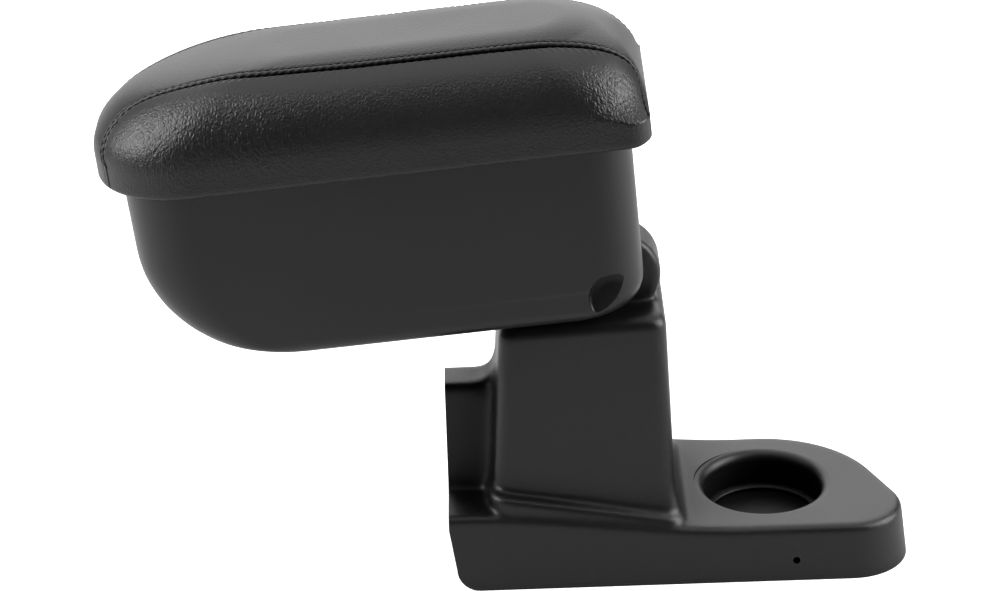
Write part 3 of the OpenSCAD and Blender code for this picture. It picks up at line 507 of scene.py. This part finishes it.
def deck_height(x):
    """Height of the deck: 48 mm at the front falling by a smooth step to 34 mm at the cup."""
    return DECK_FRONT - DECK_FALL * smooth_step((x + 71.0) / 170.0)


def console_ring(front, inset, z):
    """Outline of the console drawn in by inset: a straight left side with its quarter round, and a
    right side with a large round, the slanted rear and the small round, at the height z(x)."""
    r1, r2 = LEFT_R - inset, RIGHT_R - inset
    tip = LEFT_X + r1
    bend = 92.0
    x = np.concatenate([np.linspace(front, bend, 60), bend + (tip - bend) * np.sin(quarter(60)[1:])])
    small = np.sqrt(np.maximum(0, r1 ** 2 - (x - LEFT_X) ** 2))
    large = np.sqrt(np.maximum(0, r2 ** 2 - (x - RIGHT_X) ** 2))
    left = np.where(x <= LEFT_X, inset - HALF, LEFT_C - small)
    c, s = math.cos(SLANT), math.sin(SLANT)
    right = np.where(x <= RIGHT_X, HALF - inset, np.where(
        x <= RIGHT_X + r2 * c, RIGHT_C + large, np.where(
            x <= LEFT_X + r1 * c, (REAR * c - inset - x * c) / s, LEFT_C + small)))
    left[-1] -= 0.01
    right[-1] = left[-1] + 0.02
    outline = np.concatenate([np.column_stack([x, left]), np.column_stack([x, right])[::-1]])
    return ring_at(outline, z(outline[:, 0]) if callable(z) else z)


def console_base(name, front, wall, low):
    """Solid under the deck: the outline at the foot, then a quarter round up to the deck."""
    rings = [console_ring(front, wall, low)]
    for a in quarter(7):
        inset = wall + INSET + (DECK_R - wall) * (1 - math.cos(a))
        drop = wall + (DECK_R - wall) * (1 - math.sin(a))
        rings.append(console_ring(front, inset, lambda x, d=drop: deck_height(x) - d))
    return loft(name, rings, strips=True)


def plinth(wall):
    """Wedge-shaped step under the post cover, its top falling from the front to the rear."""
    def plan(d):
        return rounded_plan(PLINTH_FRONT + d, PLINTH_REAR - d, PLINTH_HALF - d, PLINTH_R - d, PLINTH_R - d)

    def ring(d, drop):
        outline = plan(d)
        fall = (outline[:, 0] + 60.0) / 121.0
        return ring_at(outline, 60.5 - 20.5 * fall - drop)
    return loft("plinth", [ring_at(plan(wall), 18.0 if wall else 25.0), ring(wall, 4.0),
                           ring(wall + 0.6, wall + 2.2), ring(wall + 1.8, wall + 0.8),
                           ring(wall + 4, wall)])


def post_cover(wall):
    """Post cover: a drafted box that flares at its foot and rounds over a sloping top."""
    def ring(k, d, rise):
        flare = 4.0 * max(0.0, 1 - k * COVER_RISE / 26.0) ** 2
        x0 = 7.0 * k - 55.0 - flare + d
        x1 = 56.0 - 5.0 * k + flare - d
        outline = rounded_plan(x0, x1, 49.0 - 7.0 * k + flare - d, COVER_R - wall, COVER_R - wall)
        top = COVER_FOOT + COVER_RISE - COVER_TOP_R + 5.5 * (outline[:, 0] + 48.0) / 99.0
        foot = COVER_FOOT - (9.0 if wall else 0.0)
        return ring_at(outline, foot + (top - foot) * k + rise)
    r = COVER_TOP_R - wall
    rings = [ring(k, wall, 0.0) for k in (0, 0.03, 0.06, 0.1, 0.13, 0.17, 0.21, 0.4, 0.6, 0.8, 1.0)]
    rings += [ring(1.0, wall + r * (1 - math.cos(a)), r * math.sin(a))
              for a in quarter(8)[1:]]
    return loft("post_cover", rings)


def spine(front, wall):
    """Narrow spine in front of the post cover: walls that lean out to the deck, and a rounded top."""
    r = 4 - wall / 2

    def ring(z, half):
        return np.array([(SPINE_BACK, half, z), (front, half, z), (front, -half, z), (SPINE_BACK, -half, z)])
    rings = [ring(20.0 if wall else 30.0, 24.0 - wall), ring(48.0, 22.0 - wall)]
    rings += [ring(SPINE_TOP - wall - r * (1 - math.sin(a)), 14.5 - wall - r * (1 - math.cos(a)))
              for a in quarter(8)]
    return loft("spine", rings)


def spine_hollow(wall):
    """Curved web between the spine's top and the post cover: a quarter-circle hollow, extruded."""
    face = -50.38 + wall
    r = 13.0 + wall
    a = quarter(12)
    top = SPINE_TOP - wall
    arc = np.column_stack([face - r * (1 - np.cos(a)), top + r * (1 - np.sin(a))])
    outline = np.concatenate([[(face + 6, top - 4), (face + 6, top + r)], arc, [(face - r, top - 4)]])
    return extruded("spine_hollow", outline, 11.5 - wall)


def neck(wall):
    """Round-topped tongue: a disc about the Y axis with rounded edges, on a stem with a waist."""
    r, half, k = NECK_R - wall, NECK_HALF - wall, 5 - wall / 2
    a = quarter(8)
    profile = np.concatenate([np.column_stack([r - k + k * np.sin(a), -half + k - k * np.cos(a)]),
                              np.column_stack([r - k + k * np.cos(a), half - k + k * np.sin(a)])])
    t = around(96)
    rings = np.stack([np.stack([NECK_X + p * np.cos(t), np.full(96, y), NECK_Z - p * np.sin(t)], 1)
                      for p, y in profile])
    waist = rounded_plan(-4.3 + wall, 43.6 - wall, half, k, k)
    top = rounded_plan(NECK_X + 1 - r, NECK_X - 1 + r, half, k, k)
    stem = [ring_at(waist, 140.0), ring_at(waist, 170.0), ring_at(top, NECK_Z)]
    return join(loft("neck", rings), loft("neck_stem", stem))


def turned(name, profile, x):
    """Closed solid of revolution about a vertical axis at x: a profile of radius and height, turned."""
    t = around(96)
    rings = np.stack([np.stack([x + r * np.cos(t), r * np.sin(t), np.full(96, z)], 1) for r, z in profile])
    return loft(name, rings)


def console_solids(name, reach, wall, foot):
    """The console's overlapping solids, drawn in by wall, running reach mm past its front."""
    front = FRONT - reach
    return join(console_base(name, front, wall, foot), plinth(wall), post_cover(wall), spine(front, wall),
                spine_hollow(wall), neck(wall))


class ARMREST_OT_console(bpy.types.Operator):
    """Formed console: one sheet with deck, cup, plinth, post cover, spine and neck"""

    bl_idname = "armrest.console"
    bl_label = "Console"

    def execute(self, context):
        skin = console_solids("console", 8, 0.0, -8.0)
        remesh(skin, 1.5)
        fill_hollows(skin, 12)
        fill_hollows(skin, 70, (-90, 4, 46), (-42, 44, 135))
        room = console_solids("room", 20, SHEET, -12.0)
        remesh(room, 2.4)
        cut(room, turned("cup_wall", [(CUP_R + SHEET, CUP_FLOOR - SHEET), (CUP_R + SHEET, 40.0)], CUP_X))
        turn = quarter(10)
        well = [(CUP_R - 4, CUP_FLOOR), (CUP_R - 4, CUP_FLOOR + 2.2), (CUP_R - 3.2, CUP_FLOOR + 3),
                (CUP_R, CUP_FLOOR + 3.6)]
        well += [(CUP_R + CUP_LIP * (1 - math.cos(a)), 28.0 + CUP_LIP * math.sin(a)) for a in turn]
        well += [(CUP_R + CUP_LIP + 0.4, 40.0)]
        arc = -63.0 - 14 * np.sin(turn), 14 - 14 * np.cos(turn)
        corner = np.concatenate([[(-120, -20.0), (-63.0, -20.0), (-63.0, 0.0)], np.column_stack(arc),
                                 [(FRONT, 40.0), (FRONT, 140.0), (-120, 140.0)]])
        cut(skin, room, turned("cup_well", well, CUP_X),
            box_cutter("foot_trim", (-120, -90, -30), (220, 90, 0)), extruded("front_trim", corner, 90),
            cylinder_y("fixing_hole", FIXING_X, FIXING_Z, FIXING_R, -90, 0),
            cylinder_y("pivot_hole", PIVOT[0] / MM, PIVOT[2] / MM, PIVOT_HOLE_R, -40, 40))
        finish_piece(skin, "console", "console_plastic", ["console_shell"], sharp=40)
        return {"FINISHED"}


# Box, its sizes in mm in the arm's frame

BOX_FRONT, BOX_REAR, BOX_HALF = -274.0, 20.0, 58.5
BOX_LOW, BOX_TOP, BOX_WALL = -15.3, 101.0, 2.8
FRONT_TURN, REAR_TURN, SIDE_TURN = 66.0, 20.0, 10.0
SLOT_HALF = 18.2
RECESS_R = 17.5


def box_ring(z, d):
    """Outline of the storage box at the height z, drawn in by d: the ends and sides lean in towards
    the floor and turn under it on quarter circles."""
    lean = 1 - (z - BOX_LOW) / (BOX_TOP - BOX_LOW)

    def turn(r):
        h = max(0.0, 1 - (z - BOX_LOW - d) / (r - d))
        return (r - d) * (1 - math.sqrt(max(0.0, 1 - h * h)))
    x0 = BOX_FRONT + 1.8 * lean + d + turn(FRONT_TURN)
    x1 = BOX_REAR - 1.8 * lean - d - turn(REAR_TURN)
    half = BOX_HALF - 1.2 * lean - d - turn(SIDE_TURN)
    return ring_at(rounded_plan(x0, x1, half, 28.0 - d, 38.0 - d), z)


def box_solid(name, d, top):
    """Closed box through fine rings, closer together where the underside turns up."""
    low = BOX_LOW + d
    span = np.concatenate([FRONT_TURN * np.linspace(0, 1, 28)[:-1] ** 2.2,
                           np.linspace(FRONT_TURN, top - low, 6)])
    return loft(name, to_arm(np.stack([box_ring(low + h, d) for h in span])))


class ARMREST_OT_box(bpy.types.Operator):
    """Storage box with its rim, pivot recesses and the slot for the neck"""

    bl_idname = "armrest.box"
    bl_label = "Storage box"

    def execute(self, context):
        shell = box_solid("storage_box", 0.0, BOX_TOP)
        room = box_solid("box_room", BOX_WALL, BOX_TOP - BOX_WALL)
        cut(room, *[cylinder_y("boss", 0.0, 0.0, RECESS_R + 0.3, y, y + 21.5, arm=True) for y in (-70, 48.5)])

        def dish(side):
            profile = np.array([(RECESS_R, 70.0), (RECESS_R, 58.2), (15.9, 57.7), (15.1, 57.0), (14.7, 56.0),
                                (14.3, 53.2), (13.6, 51.8), (12.4, 51.1), (8.0, 50.9)])
            t = around(72)
            r, y = profile[:, :1], profile[:, 1:]
            flush = np.clip(0.5 - 0.62 * (0.97 * np.sin(t) - 0.1 * np.cos(t)) * r / RECESS_R, 0, 1)
            depth = y + np.maximum(58.8 - y, 0) * flush
            rings = np.stack([r * np.cos(t), side * depth, r * np.sin(t)], -1)
            return loft("recess", to_arm(rings[:, ::side]))
        mouth = rounded_plan(-262.2, 8.2, 46.7, 14, 14)
        cut(shell, room, loft("mouth", to_arm(np.stack([ring_at(mouth, 97.0), ring_at(mouth, 103.0)]))),
            dish(-1), dish(1),
            box_cutter("floor_slot", (-29.3, -SLOT_HALF, -17), (60, SLOT_HALF, -11), arm=True),
            box_cutter("rear_slot", (-12, -SLOT_HALF, -17), (60, SLOT_HALF, 31.0), arm=True))
        finish_piece(shell, "box", "box_plastic", ["box_shell"], sharp=32)
        return {"FINISHED"}


# Padded lid, its sizes in mm in the arm's frame

LID_FRONT, LID_REAR, LID_HALF = 289.3, 31.4, 65.5
LID_SIDE, LID_TOP = 110.0, 157.5
CROWN_FRONT, CROWN_REAR, CROWN_SIDE = 110.0, 46.0, 46.0
FRONT_R = 59.0
BEND = 0.42
GROOVE, GROOVE_HALF = 1.3, 0.9
STITCHED, STITCHED_HALF = 3.9, 0.6
NOTCH, PUCKER = 1.85, 4.6
COVER_SHEET = 0.8
STATIONS = 540
# Rolled edge: how far it is drawn in, and its height
ROLL = np.array([(0.0, 97.6), (0.15, 96.6), (0.7, 95.5), (1.6, 94.8), (2.7, 94.5), (4.2, 94.7), (5.8, 95.3)])


def drawn_in(v, k):
    """Share by which the crown is drawn in at the share v of its height: one minus the k-th root of
    one minus v to the power k, a superellipse."""
    return 1 - np.maximum(0, 1 - v ** k) ** (1 / k)


def rear_radius(v):
    """Radius of the rear corners at the share v of the crown's height: 14 mm at the foot, 40 mm from
    v = 0.3 up, joined by a parabola."""
    return 14.0 + 26.0 * (1 - (1 - np.minimum(1, v / 0.3)) ** 2)


def crown_ring(v, inset=0.0):
    """The crown's ring at the share v of its height, drawn in by inset: its half width, its front and
    rear in x, and its front and rear corner radii.  The rings shrink as they rise."""
    half = LID_HALF - CROWN_SIDE * drawn_in(v, 2.0) - inset
    x0 = -LID_FRONT + CROWN_FRONT * drawn_in(v, 2.1) + inset
    x1 = LID_REAR - CROWN_REAR * drawn_in(v, 1.9) - inset
    return half, x0, x1, np.minimum(FRONT_R - inset, half - 1), np.minimum(rear_radius(v) - inset, half - 1)


def crown_height(y, s):
    """Share of the crown's height that the section at the distance y has reached at the station s."""
    q = np.clip((LID_HALF - y) / CROWN_SIDE, 0, 1)
    top = np.sqrt(np.maximum(0, 1 - (1 - q) ** 2))
    return top * np.sin(np.clip((1 - np.abs(s)) / (1 - BEND), 0, 1) * math.pi / 2)


def along_lid(front, rear, s):
    """The front value up to s = -BEND, the rear value from s = BEND on, and a straight blend between."""
    return front + (rear - front) * np.clip((s + BEND) / (2 * BEND), 0, 1)


def lid_section(y, s):
    """Point of the lid's crown on its section at the distance y from the middle plane, for s from -1 at
    the front foot over 0 on the top to 1 at the rear foot.  A section climbs to the ring whose half
    width is y, runs straight along it, and comes down."""
    y, s = np.broadcast_arrays(np.asarray(y, float), np.asarray(s, float))
    v = crown_height(np.abs(y), s)
    half, front, rear, front_r, rear_r = crown_ring(v)

    def rounding(r):
        over = np.clip(np.abs(y) - (half - r), 0, r)
        return r - np.sqrt(np.maximum(0, r * r - over * over))
    x = along_lid(front + rounding(front_r), rear - rounding(rear_r), s)
    return np.stack([x, y, LID_SIDE + (LID_TOP - LID_SIDE) * v], -1)


def seam_half(s):
    """Distance of a seam from the middle plane, in mm, at the stations s: given points joined by lines
    and averaged over a short stretch.  It comes in on both shoulders and spreads again at the ends."""
    at = [-1.0, -0.98, -0.89, -0.83, -0.76, -0.7, -0.59, -0.43, -0.1, 0.3, 0.46, 0.57, 0.68, 0.755, 0.825,
          0.88, 0.925, 0.97, 1.0]
    to = [41, 38, 34.5, 30.5, 27, 28, 33.5, 37.5, 39, 39, 39.5, 38, 34.7, 31.5, 30, 33.5, 42, 53, 57]
    base = bpy.context.scene.armrest_sizes.seam_half / MM - 38.0
    spread = np.linspace(-0.035, 0.035, 9)
    return base + np.mean([np.interp(np.asarray(s) + d, at, to) for d in spread], axis=0)


def ring_point(theta, v, inset=0.0):
    """Point of a crown ring in plan, y towards the side: theta runs from 0 in the middle of the front
    over its corner (1 to 2), the side (2 to 3) and the rear corner (3 to 4) to 5 in the rear's middle."""
    theta, v = np.broadcast_arrays(np.asarray(theta, float), np.asarray(v, float))
    half, x0, x1, rf, rr = crown_ring(v, inset)
    f = (np.clip(theta, 1, 2) - 1) * math.pi / 2
    b = (np.clip(theta, 3, 4) - 3) * math.pi / 2
    xa, xb = x0 + rf, x1 - rr
    x = np.where(theta <= 2, xa - rf * np.cos(f), np.where(
        theta <= 3, xa + (theta - 2) * (xb - xa), xb + rr * np.sin(b)))
    y = np.where(theta <= 1, theta * (half - rf), np.where(
        theta <= 2, half - rf + rf * np.sin(f), np.where(
            theta <= 3, half, np.where(theta <= 4, half - rr + rr * np.cos(b), (half - rr) * (5 - theta)))))
    return x, y


def ring_theta(y, v, s):
    """The ring coordinate theta of the section point at the distance y, height share v and station s."""
    half, _, _, front_r, rear_r = crown_ring(v)

    def corner(r):
        over = np.clip((y - (half - r)) / r, 0, 1)
        return np.where(y <= half - r, y / (half - r), 1 + np.arcsin(over) / (math.pi / 2))
    return along_lid(corner(front_r), 5 - corner(rear_r), s)


def foot_rows(theta):
    """Rows below the crown: straight down, then a rolled edge turned in under the lid, tighter at the
    rear, where the hinge is."""
    start = ROLL[0, 1]
    tight = 1 - 0.5 * smooth_step((theta - 3.2) / 0.6)
    places = [(0.0, np.full_like(tight, z)) for z in np.linspace(LID_SIDE, start, 8)[1:-1]]
    places += [(d * tight, start - (start - z) * tight) for d, z in ROLL]
    return [np.stack([*ring_point(theta, 0.0, inset), z], -1) for inset, z in places]


def seam_shade(distance, run, stitched):
    """Weight of the painted shade: a dark line in a seam's groove, with a notch every NOTCH mm, and on the
    stitched line.
    """
    shade = 1.2 * bell(distance / 1.4) * (0.87 + 0.13 * np.cos(2 * math.pi * run / NOTCH))
    if stitched:
        shade = shade + 0.8 * bell((distance - STITCHED) / STITCHED_HALF)
    return np.clip(shade, 0, 1)


def press_seam(grid, distance, run, stitched):
    """Moves a grid of points along its normals by the distance from the seam: a Gaussian groove GROOVE
    mm deep, notches and puckers along it, and on the middle panel a raised band with a stitched line."""
    normal = unit(np.cross(np.gradient(grid, axis=0), np.gradient(grid, axis=1)))
    centre = np.array([-120.0, 0.0, 100.0])
    normal *= np.sign(np.sum(normal * (grid - centre), -1, keepdims=True))
    depth = -GROOVE * bell(distance / GROOVE_HALF)
    depth -= 0.22 * bell(distance / 1.1) * np.cos(2 * math.pi * run / NOTCH)
    depth += 0.16 * bell((distance - 1.6) / 3.0) * np.sin(2 * math.pi * run / PUCKER)
    if stitched:
        depth += 0.25 * bell(distance - 2.2)
        depth -= 0.4 * bell((distance - STITCHED) / STITCHED_HALF)
    return grid + normal * depth[..., None]


def seam_run(s):
    """The seam's distance from the middle plane at the stations s, and the distance run along it."""
    half = seam_half(s)
    steps = np.linalg.norm(np.diff(lid_section(half, s), axis=0), axis=1)
    return half, np.concatenate([[0], np.cumsum(steps)])


def even_stations(n):
    """Stations s from -1 to 1 that space the seam's points evenly."""
    fine = np.linspace(-1, 1, 4001)
    _, run = seam_run(fine)
    return np.interp(np.linspace(0, run[-1], n), run, fine)


def grid_object(name, points, flip, **weights):
    """Sheet from a grid of points in the arm's frame, with named weights on its points."""
    m, n = points.shape[:2]
    faces = ring_faces(m, n, closed=False)
    obj = new_mesh(name, to_arm(points).reshape(-1, 3), faces[:, ::-1] if flip else faces)
    for label, values in weights.items():
        layer = obj.data.attributes.new(label, "FLOAT", "POINT")
        layer.data.foreach_set("value", np.broadcast_to(values, (m, n)).ravel().astype(np.float32))
    thick = obj.modifiers.new("thickness", "SOLIDIFY")
    thick.thickness = COVER_SHEET * MM
    thick.offset = -1.0
    apply_modifiers(obj)
    return obj


class ARMREST_OT_cover_top(bpy.types.Operator):
    """Middle panel of the padded lid between its two seams, with the stitched lines"""

    bl_idname = "armrest.cover_top"
    bl_label = "Cover, middle panel"

    def execute(self, context):
        s = even_stations(STATIONS)
        half, run = seam_run(s)
        band = 6.0
        reach = np.concatenate([np.linspace(0, band, 26),
                                band + np.linspace(0, 1, 16)[1:] * (half.mean() - band)])
        t = np.concatenate([-(1 - reach / half.mean()), (1 - reach / half.mean())[::-1][1:]])
        y = t[None, :] * half[:, None]
        grid = lid_section(y, s[:, None])
        distance = (1 - np.abs(t[None, :])) * half[:, None]
        grid = press_seam(grid, distance, run[:, None], True)
        rows = []
        for pick, station in ((0, -1.0), (-1, 1.0)):
            theta = ring_theta(np.abs(y[pick]), np.zeros_like(t), np.full_like(t, station))
            foot = np.array(foot_rows(theta))
            foot[..., 1] *= np.sign(grid[pick, :, 1])
            foot[..., 0] -= station * GROOVE * bell(distance[pick] / GROOVE_HALF)
            rows.append(foot)
        grid = np.concatenate([rows[0][::-1], grid, rows[1]])
        pad = len(rows[0])
        shade = seam_shade(distance, run[:, None], True)
        shade = np.concatenate([np.repeat(shade[:1], pad, 0), shade, np.repeat(shade[-1:], pad, 0)])
        # The seam weights are painted shade in the grooves and along the stitched lines
        obj = grid_object("lid_cover_middle", grid, True, grain=0.45, crease=0.0, seam=shade)
        finish_piece(obj, "lid", "leatherette", ["cover_top_panel"])
        return {"FINISHED"}


class ARMREST_OT_cover_sides(bpy.types.Operator):
    """Side panels of the padded lid from the seams down to the rolled edge"""

    bl_idname = "armrest.cover_sides"
    bl_label = "Cover, side panels"

    def execute(self, context):
        s = even_stations(STATIONS)
        half, run = seam_run(s)
        v = crown_height(half, s)
        theta = ring_theta(half, v, s)
        fine = np.linspace(theta[0], theta[-1], 3000)
        fx, fy = ring_point(fine, 0.0)
        length = np.concatenate([[0], np.cumsum(np.hypot(np.diff(fx), np.diff(fy)))])
        foot = np.interp(np.linspace(0, length[-1], len(s)), length, fine)
        u = np.concatenate([np.linspace(0, 0.10, 16), 0.10 + 0.9 * np.linspace(0, 1, 50)[1:]])
        phi = np.arcsin(np.clip(v, 0, 1))[:, None] * (1 - u[None, :])
        mix = smooth_step(u[None, :] * 0.5) * 2
        th = theta[:, None] + (foot - theta)[:, None] * mix
        vv = np.sin(phi)
        x, y = ring_point(th, vv)
        grid = np.stack([x, y, LID_SIDE + (LID_TOP - LID_SIDE) * vv], -1)
        step = np.linalg.norm(np.diff(grid, axis=1), axis=-1)
        distance = np.concatenate([np.zeros((len(s), 1)), np.cumsum(step, axis=1)], axis=1)
        grid = press_seam(grid, distance, run[:, None], False)
        rows = np.stack(foot_rows(foot), 1)
        distance = np.concatenate([distance, np.repeat(distance[:, -1:], rows.shape[1], 1)], axis=1)
        grid = np.concatenate([grid, rows], axis=1)
        shade = seam_shade(distance, run[:, None], False)
        grain = 0.1 + 0.9 * smooth_step((distance - 9) / 12)
        front = smooth_step((-140 - grid[..., 0]) / 60) * smooth_step((grid[..., 0] + 272) / 25)
        rear = smooth_step((grid[..., 0] + 20) / 25)
        crease = (front + rear) * grain * smooth_step((grid[..., 2] - 99) / 12)
        for name, node, sign in (("lid_cover_left", "cover_left_panel", -1),
                                 ("lid_cover_right", "cover_right_panel", 1)):
            # The seam weights are painted shade in the grooves
            obj = grid_object(name, grid * (1, sign, 1), sign > 0, grain=grain, crease=crease, seam=shade)
            finish_piece(obj, "lid", "leatherette", [node])
        return {"FINISHED"}


class ARMREST_OT_stitches(bpy.types.Operator):
    """Thread beside the lid's seams: one short capsule per stitch along each line"""

    bl_idname = "armrest.stitches"
    bl_label = "Stitches"

    def execute(self, context):
        sizes = context.scene.armrest_sizes
        length, radius = sizes.stitch_length / MM, sizes.stitch_radius / MM
        fine = np.linspace(-0.985, 0.985, 6000)
        half, run = seam_run(fine)
        line = lid_section(half - STITCHED, fine)
        count = int(run[-1] / length)
        pick = np.interp(np.arange(count) * length + length / 2, run, np.arange(len(run))).astype(int)
        ahead = np.clip(pick + 6, 0, len(run) - 1)
        along = unit(line[ahead] - line[np.clip(pick - 6, 0, None)])
        across = lid_section(half - STITCHED - 1, fine)[pick] - line[pick]
        across = unit(across - along * np.sum(across * along, 1, keepdims=True))
        up = np.cross(along, across)
        up *= np.sign(up[:, 2:3] + 1e-6)
        a = around(8)
        shape = [(-0.5, 0.15, -0.9), (-0.44, 0.7, -0.55), (-0.3, 1.0, -0.25), (0.0, 1.0, -0.15),
                 (0.3, 1.0, -0.25), (0.44, 0.7, -0.55), (0.5, 0.15, -0.9)]
        body = length - 0.7
        rings = np.array([[(p * body, q * radius * math.cos(b), q * radius * math.sin(b) + h * radius)
                           for b in a] for p, q, h in shape])
        basis = np.stack([along, across, up], 1)
        points = line[pick][:, None, None, :] + np.einsum("rpk,nkc->nrpc", rings, basis)
        n = len(shape) * 8
        one = ring_faces(len(shape), 8)
        caps = np.array([list(range(7, -1, -1)), list(range(n - 8, n))])
        starts = (np.arange(count) * n)[:, None, None]
        everything, faces = [], []
        for sign in (1, -1):
            base = sum(len(p) for p in everything)
            everything.append(to_arm(points * (1, sign, 1)).reshape(-1, 3))
            for part in (one, caps):
                block = (part[None] + starts).reshape(-1, part.shape[1]) + base
                faces.extend(block if sign < 0 else block[:, ::-1])
        obj = new_mesh("lid_stitches", np.concatenate(everything), faces)
        finish_piece(obj, "lid", "leatherette")
        return {"FINISHED"}


# Stage

# Where the floor is seen from inside the console it doesn't glow: middle and reach in x and y, metres
FLOOR_INSIDE = ((0.055, 0.125), (0.0, 0.056))
FLOOR_GLOW = 0.85
# The world's strength as light, and what the camera sees on top of it
WORLD_LIGHT, WORLD_SEEN = 0.03, 0.95
CAMERA_PLACE = (-0.046, -1.70852, 0.98316)
CAMERA_PITCH, CAMERA_ROLL = math.radians(25.56), math.radians(1.89)


class ARMREST_OT_stage(bpy.types.Operator):
    """Floor, lamps, world light and camera"""

    bl_idname = "armrest.stage"
    bl_label = "Stage"

    def execute(self, context):
        scene = context.scene
        scene.view_settings.view_transform = "Standard"
        floor = bpy.data.meshes.new("floor")
        reach = 6.0
        corners = [(-reach, -reach, 0), (reach, -reach, 0), (reach, reach, 0), (-reach, reach, 0)]
        floor.from_pydata(corners, [], [(0, 1, 2, 3)])
        floor_obj = bpy.data.objects.new("floor", floor)
        scene.collection.objects.link(floor_obj)
        paint = bpy.data.materials.new("floor_white")
        paint.use_nodes = True
        tree = paint.node_tree
        tree.nodes.clear()
        place = add_node(tree, "TexCoord").outputs["Object"]
        apart = add_node(tree, "SeparateXYZ", {0: place})
        spans = [math_node(tree, "COMPARE", apart.outputs[axis], *span)
                 for axis, span in zip("XY", FLOOR_INSIDE)]
        outside = math_node(tree, "SUBTRACT", 1.0, math_node(tree, "MULTIPLY", *spans))
        path = add_node(tree, "LightPath")
        shown = math_node(tree, "MULTIPLY", path.outputs["Is Camera Ray"], FLOOR_GLOW)
        glow = add_node(tree, "Emission", {"Strength": math_node(tree, "MULTIPLY", shown, outside)})
        matt = add_node(tree, "BsdfDiffuse", {"Color": (0.55, 0.55, 0.55, 1)})
        both = add_node(tree, "AddShader", {0: matt.outputs[0], 1: glow.outputs[0]})
        add_node(tree, "OutputMaterial", {"Surface": both.outputs[0]})
        floor.materials.append(paint)

        world = bpy.data.worlds.new("studio")
        scene.world = world
        world.use_nodes = True
        tree = world.node_tree
        back = tree.nodes["Background"]
        path = add_node(tree, "LightPath")
        shown = math_node(tree, "MULTIPLY", path.outputs["Is Camera Ray"], WORLD_SEEN)
        tree.links.new(math_node(tree, "ADD", shown, WORLD_LIGHT), back.inputs["Strength"])
        back.inputs["Color"].default_value = (1, 1, 1, 1)

        for name, place, target, size, power in (
                ("lamp_over", (0.0, 0.0, 2.2), (0.0, 0.0, 0.2), (1.8, 1.8), 18.0),
                ("lamp_back", (0.0, 1.7, 1.35), (0.0, 0.0, 0.2), (2.6, 1.75), 38.0),
                ("lamp_low", (-0.3, 1.75, 0.3), (-0.1, 0.0, 0.25), (2.8, 0.6), 6.0),
                ("lamp_left", (-1.6, -0.15, 1.2), (-0.2, 0.0, 0.2), (1.3, 1.4), 58.0),
                ("lamp_right", (1.75, -0.1, 1.05), (0.0, 0.0, 0.2), (1.1, 1.6), 66.0)):
            data = bpy.data.lights.new(name, "AREA")
            data.shape = "RECTANGLE"
            data.size, data.size_y = size
            data.energy = power
            lamp = bpy.data.objects.new(name, data)
            lamp.location = place
            lamp.rotation_euler = (Vector(target) - Vector(place)).to_track_quat("-Z", "Y").to_euler()
            scene.collection.objects.link(lamp)

        level = Vector((1, 0, 0))
        upright = Vector((0, math.sin(CAMERA_PITCH), math.cos(CAMERA_PITCH)))
        forward = Vector((0, math.cos(CAMERA_PITCH), -math.sin(CAMERA_PITCH)))
        right = level * math.cos(CAMERA_ROLL) - upright * math.sin(CAMERA_ROLL)
        up = upright * math.cos(CAMERA_ROLL) + level * math.sin(CAMERA_ROLL)
        data = bpy.data.cameras.new("camera")
        data.sensor_width = 36.0
        data.lens = 114.48
        data.clip_end = 20.0
        camera = bpy.data.objects.new("camera", data)
        turned_to = Matrix((right, up, -forward)).transposed().to_4x4()
        camera.matrix_world = Matrix.Translation(CAMERA_PLACE) @ turned_to
        scene.collection.objects.link(camera)
        scene.camera = camera
        return {"FINISHED"}


class ARMREST_OT_frame_finish(bpy.types.Operator):
    """Finishes of the CAD nodes that stay"""

    bl_idname = "armrest.frame_finish"
    bl_label = "Frame finishes"

    def execute(self, context):
        slots = {part["node"]: part["material_slot"] for part in frame["record"]["subparts"]}
        for name, node in frame["nodes"].items():
            dress(node, slots[name])
        return {"FINISHED"}


OPERATORS = (ARMREST_OT_stage, ARMREST_OT_frame_finish, ARMREST_OT_console, ARMREST_OT_box,
             ARMREST_OT_cover_top, ARMREST_OT_cover_sides, ARMREST_OT_stitches)


class ARMREST_PT_sidebar(bpy.types.Panel):
    """Buttons for every piece, with the sizes and colours they use"""

    bl_idname = "ARMREST_PT_sidebar"
    bl_label = "Car centre armrest"
    bl_space_type = "VIEW_3D"
    bl_region_type = "UI"
    bl_category = "Armrest"

    def draw(self, context):
        for group in (context.scene.armrest_sizes, context.scene.armrest_finish):
            for name in group.__annotations__:
                self.layout.prop(group, name)
        for operator in OPERATORS:
            self.layout.operator(operator.bl_idname)


CLASSES = (ArmrestSizes, ArmrestFinish, *OPERATORS, ARMREST_PT_sidebar)


def register():
    for cls in CLASSES:
        bpy.utils.register_class(cls)
    bpy.types.Scene.armrest_sizes = bpy.props.PointerProperty(type=ArmrestSizes)
    bpy.types.Scene.armrest_finish = bpy.props.PointerProperty(type=ArmrestFinish)


def unregister():
    del bpy.types.Scene.armrest_finish
    del bpy.types.Scene.armrest_sizes
    for cls in reversed(CLASSES):
        bpy.utils.unregister_class(cls)


def main():
    register()
    bpy.ops.armrest.stage()
    bpy.ops.armrest.frame_finish()
    bpy.ops.armrest.console()
    bpy.ops.armrest.box()
    bpy.ops.armrest.cover_top()
    bpy.ops.armrest.cover_sides()
    bpy.ops.armrest.stitches()


if __name__ == "__main__":
    main()
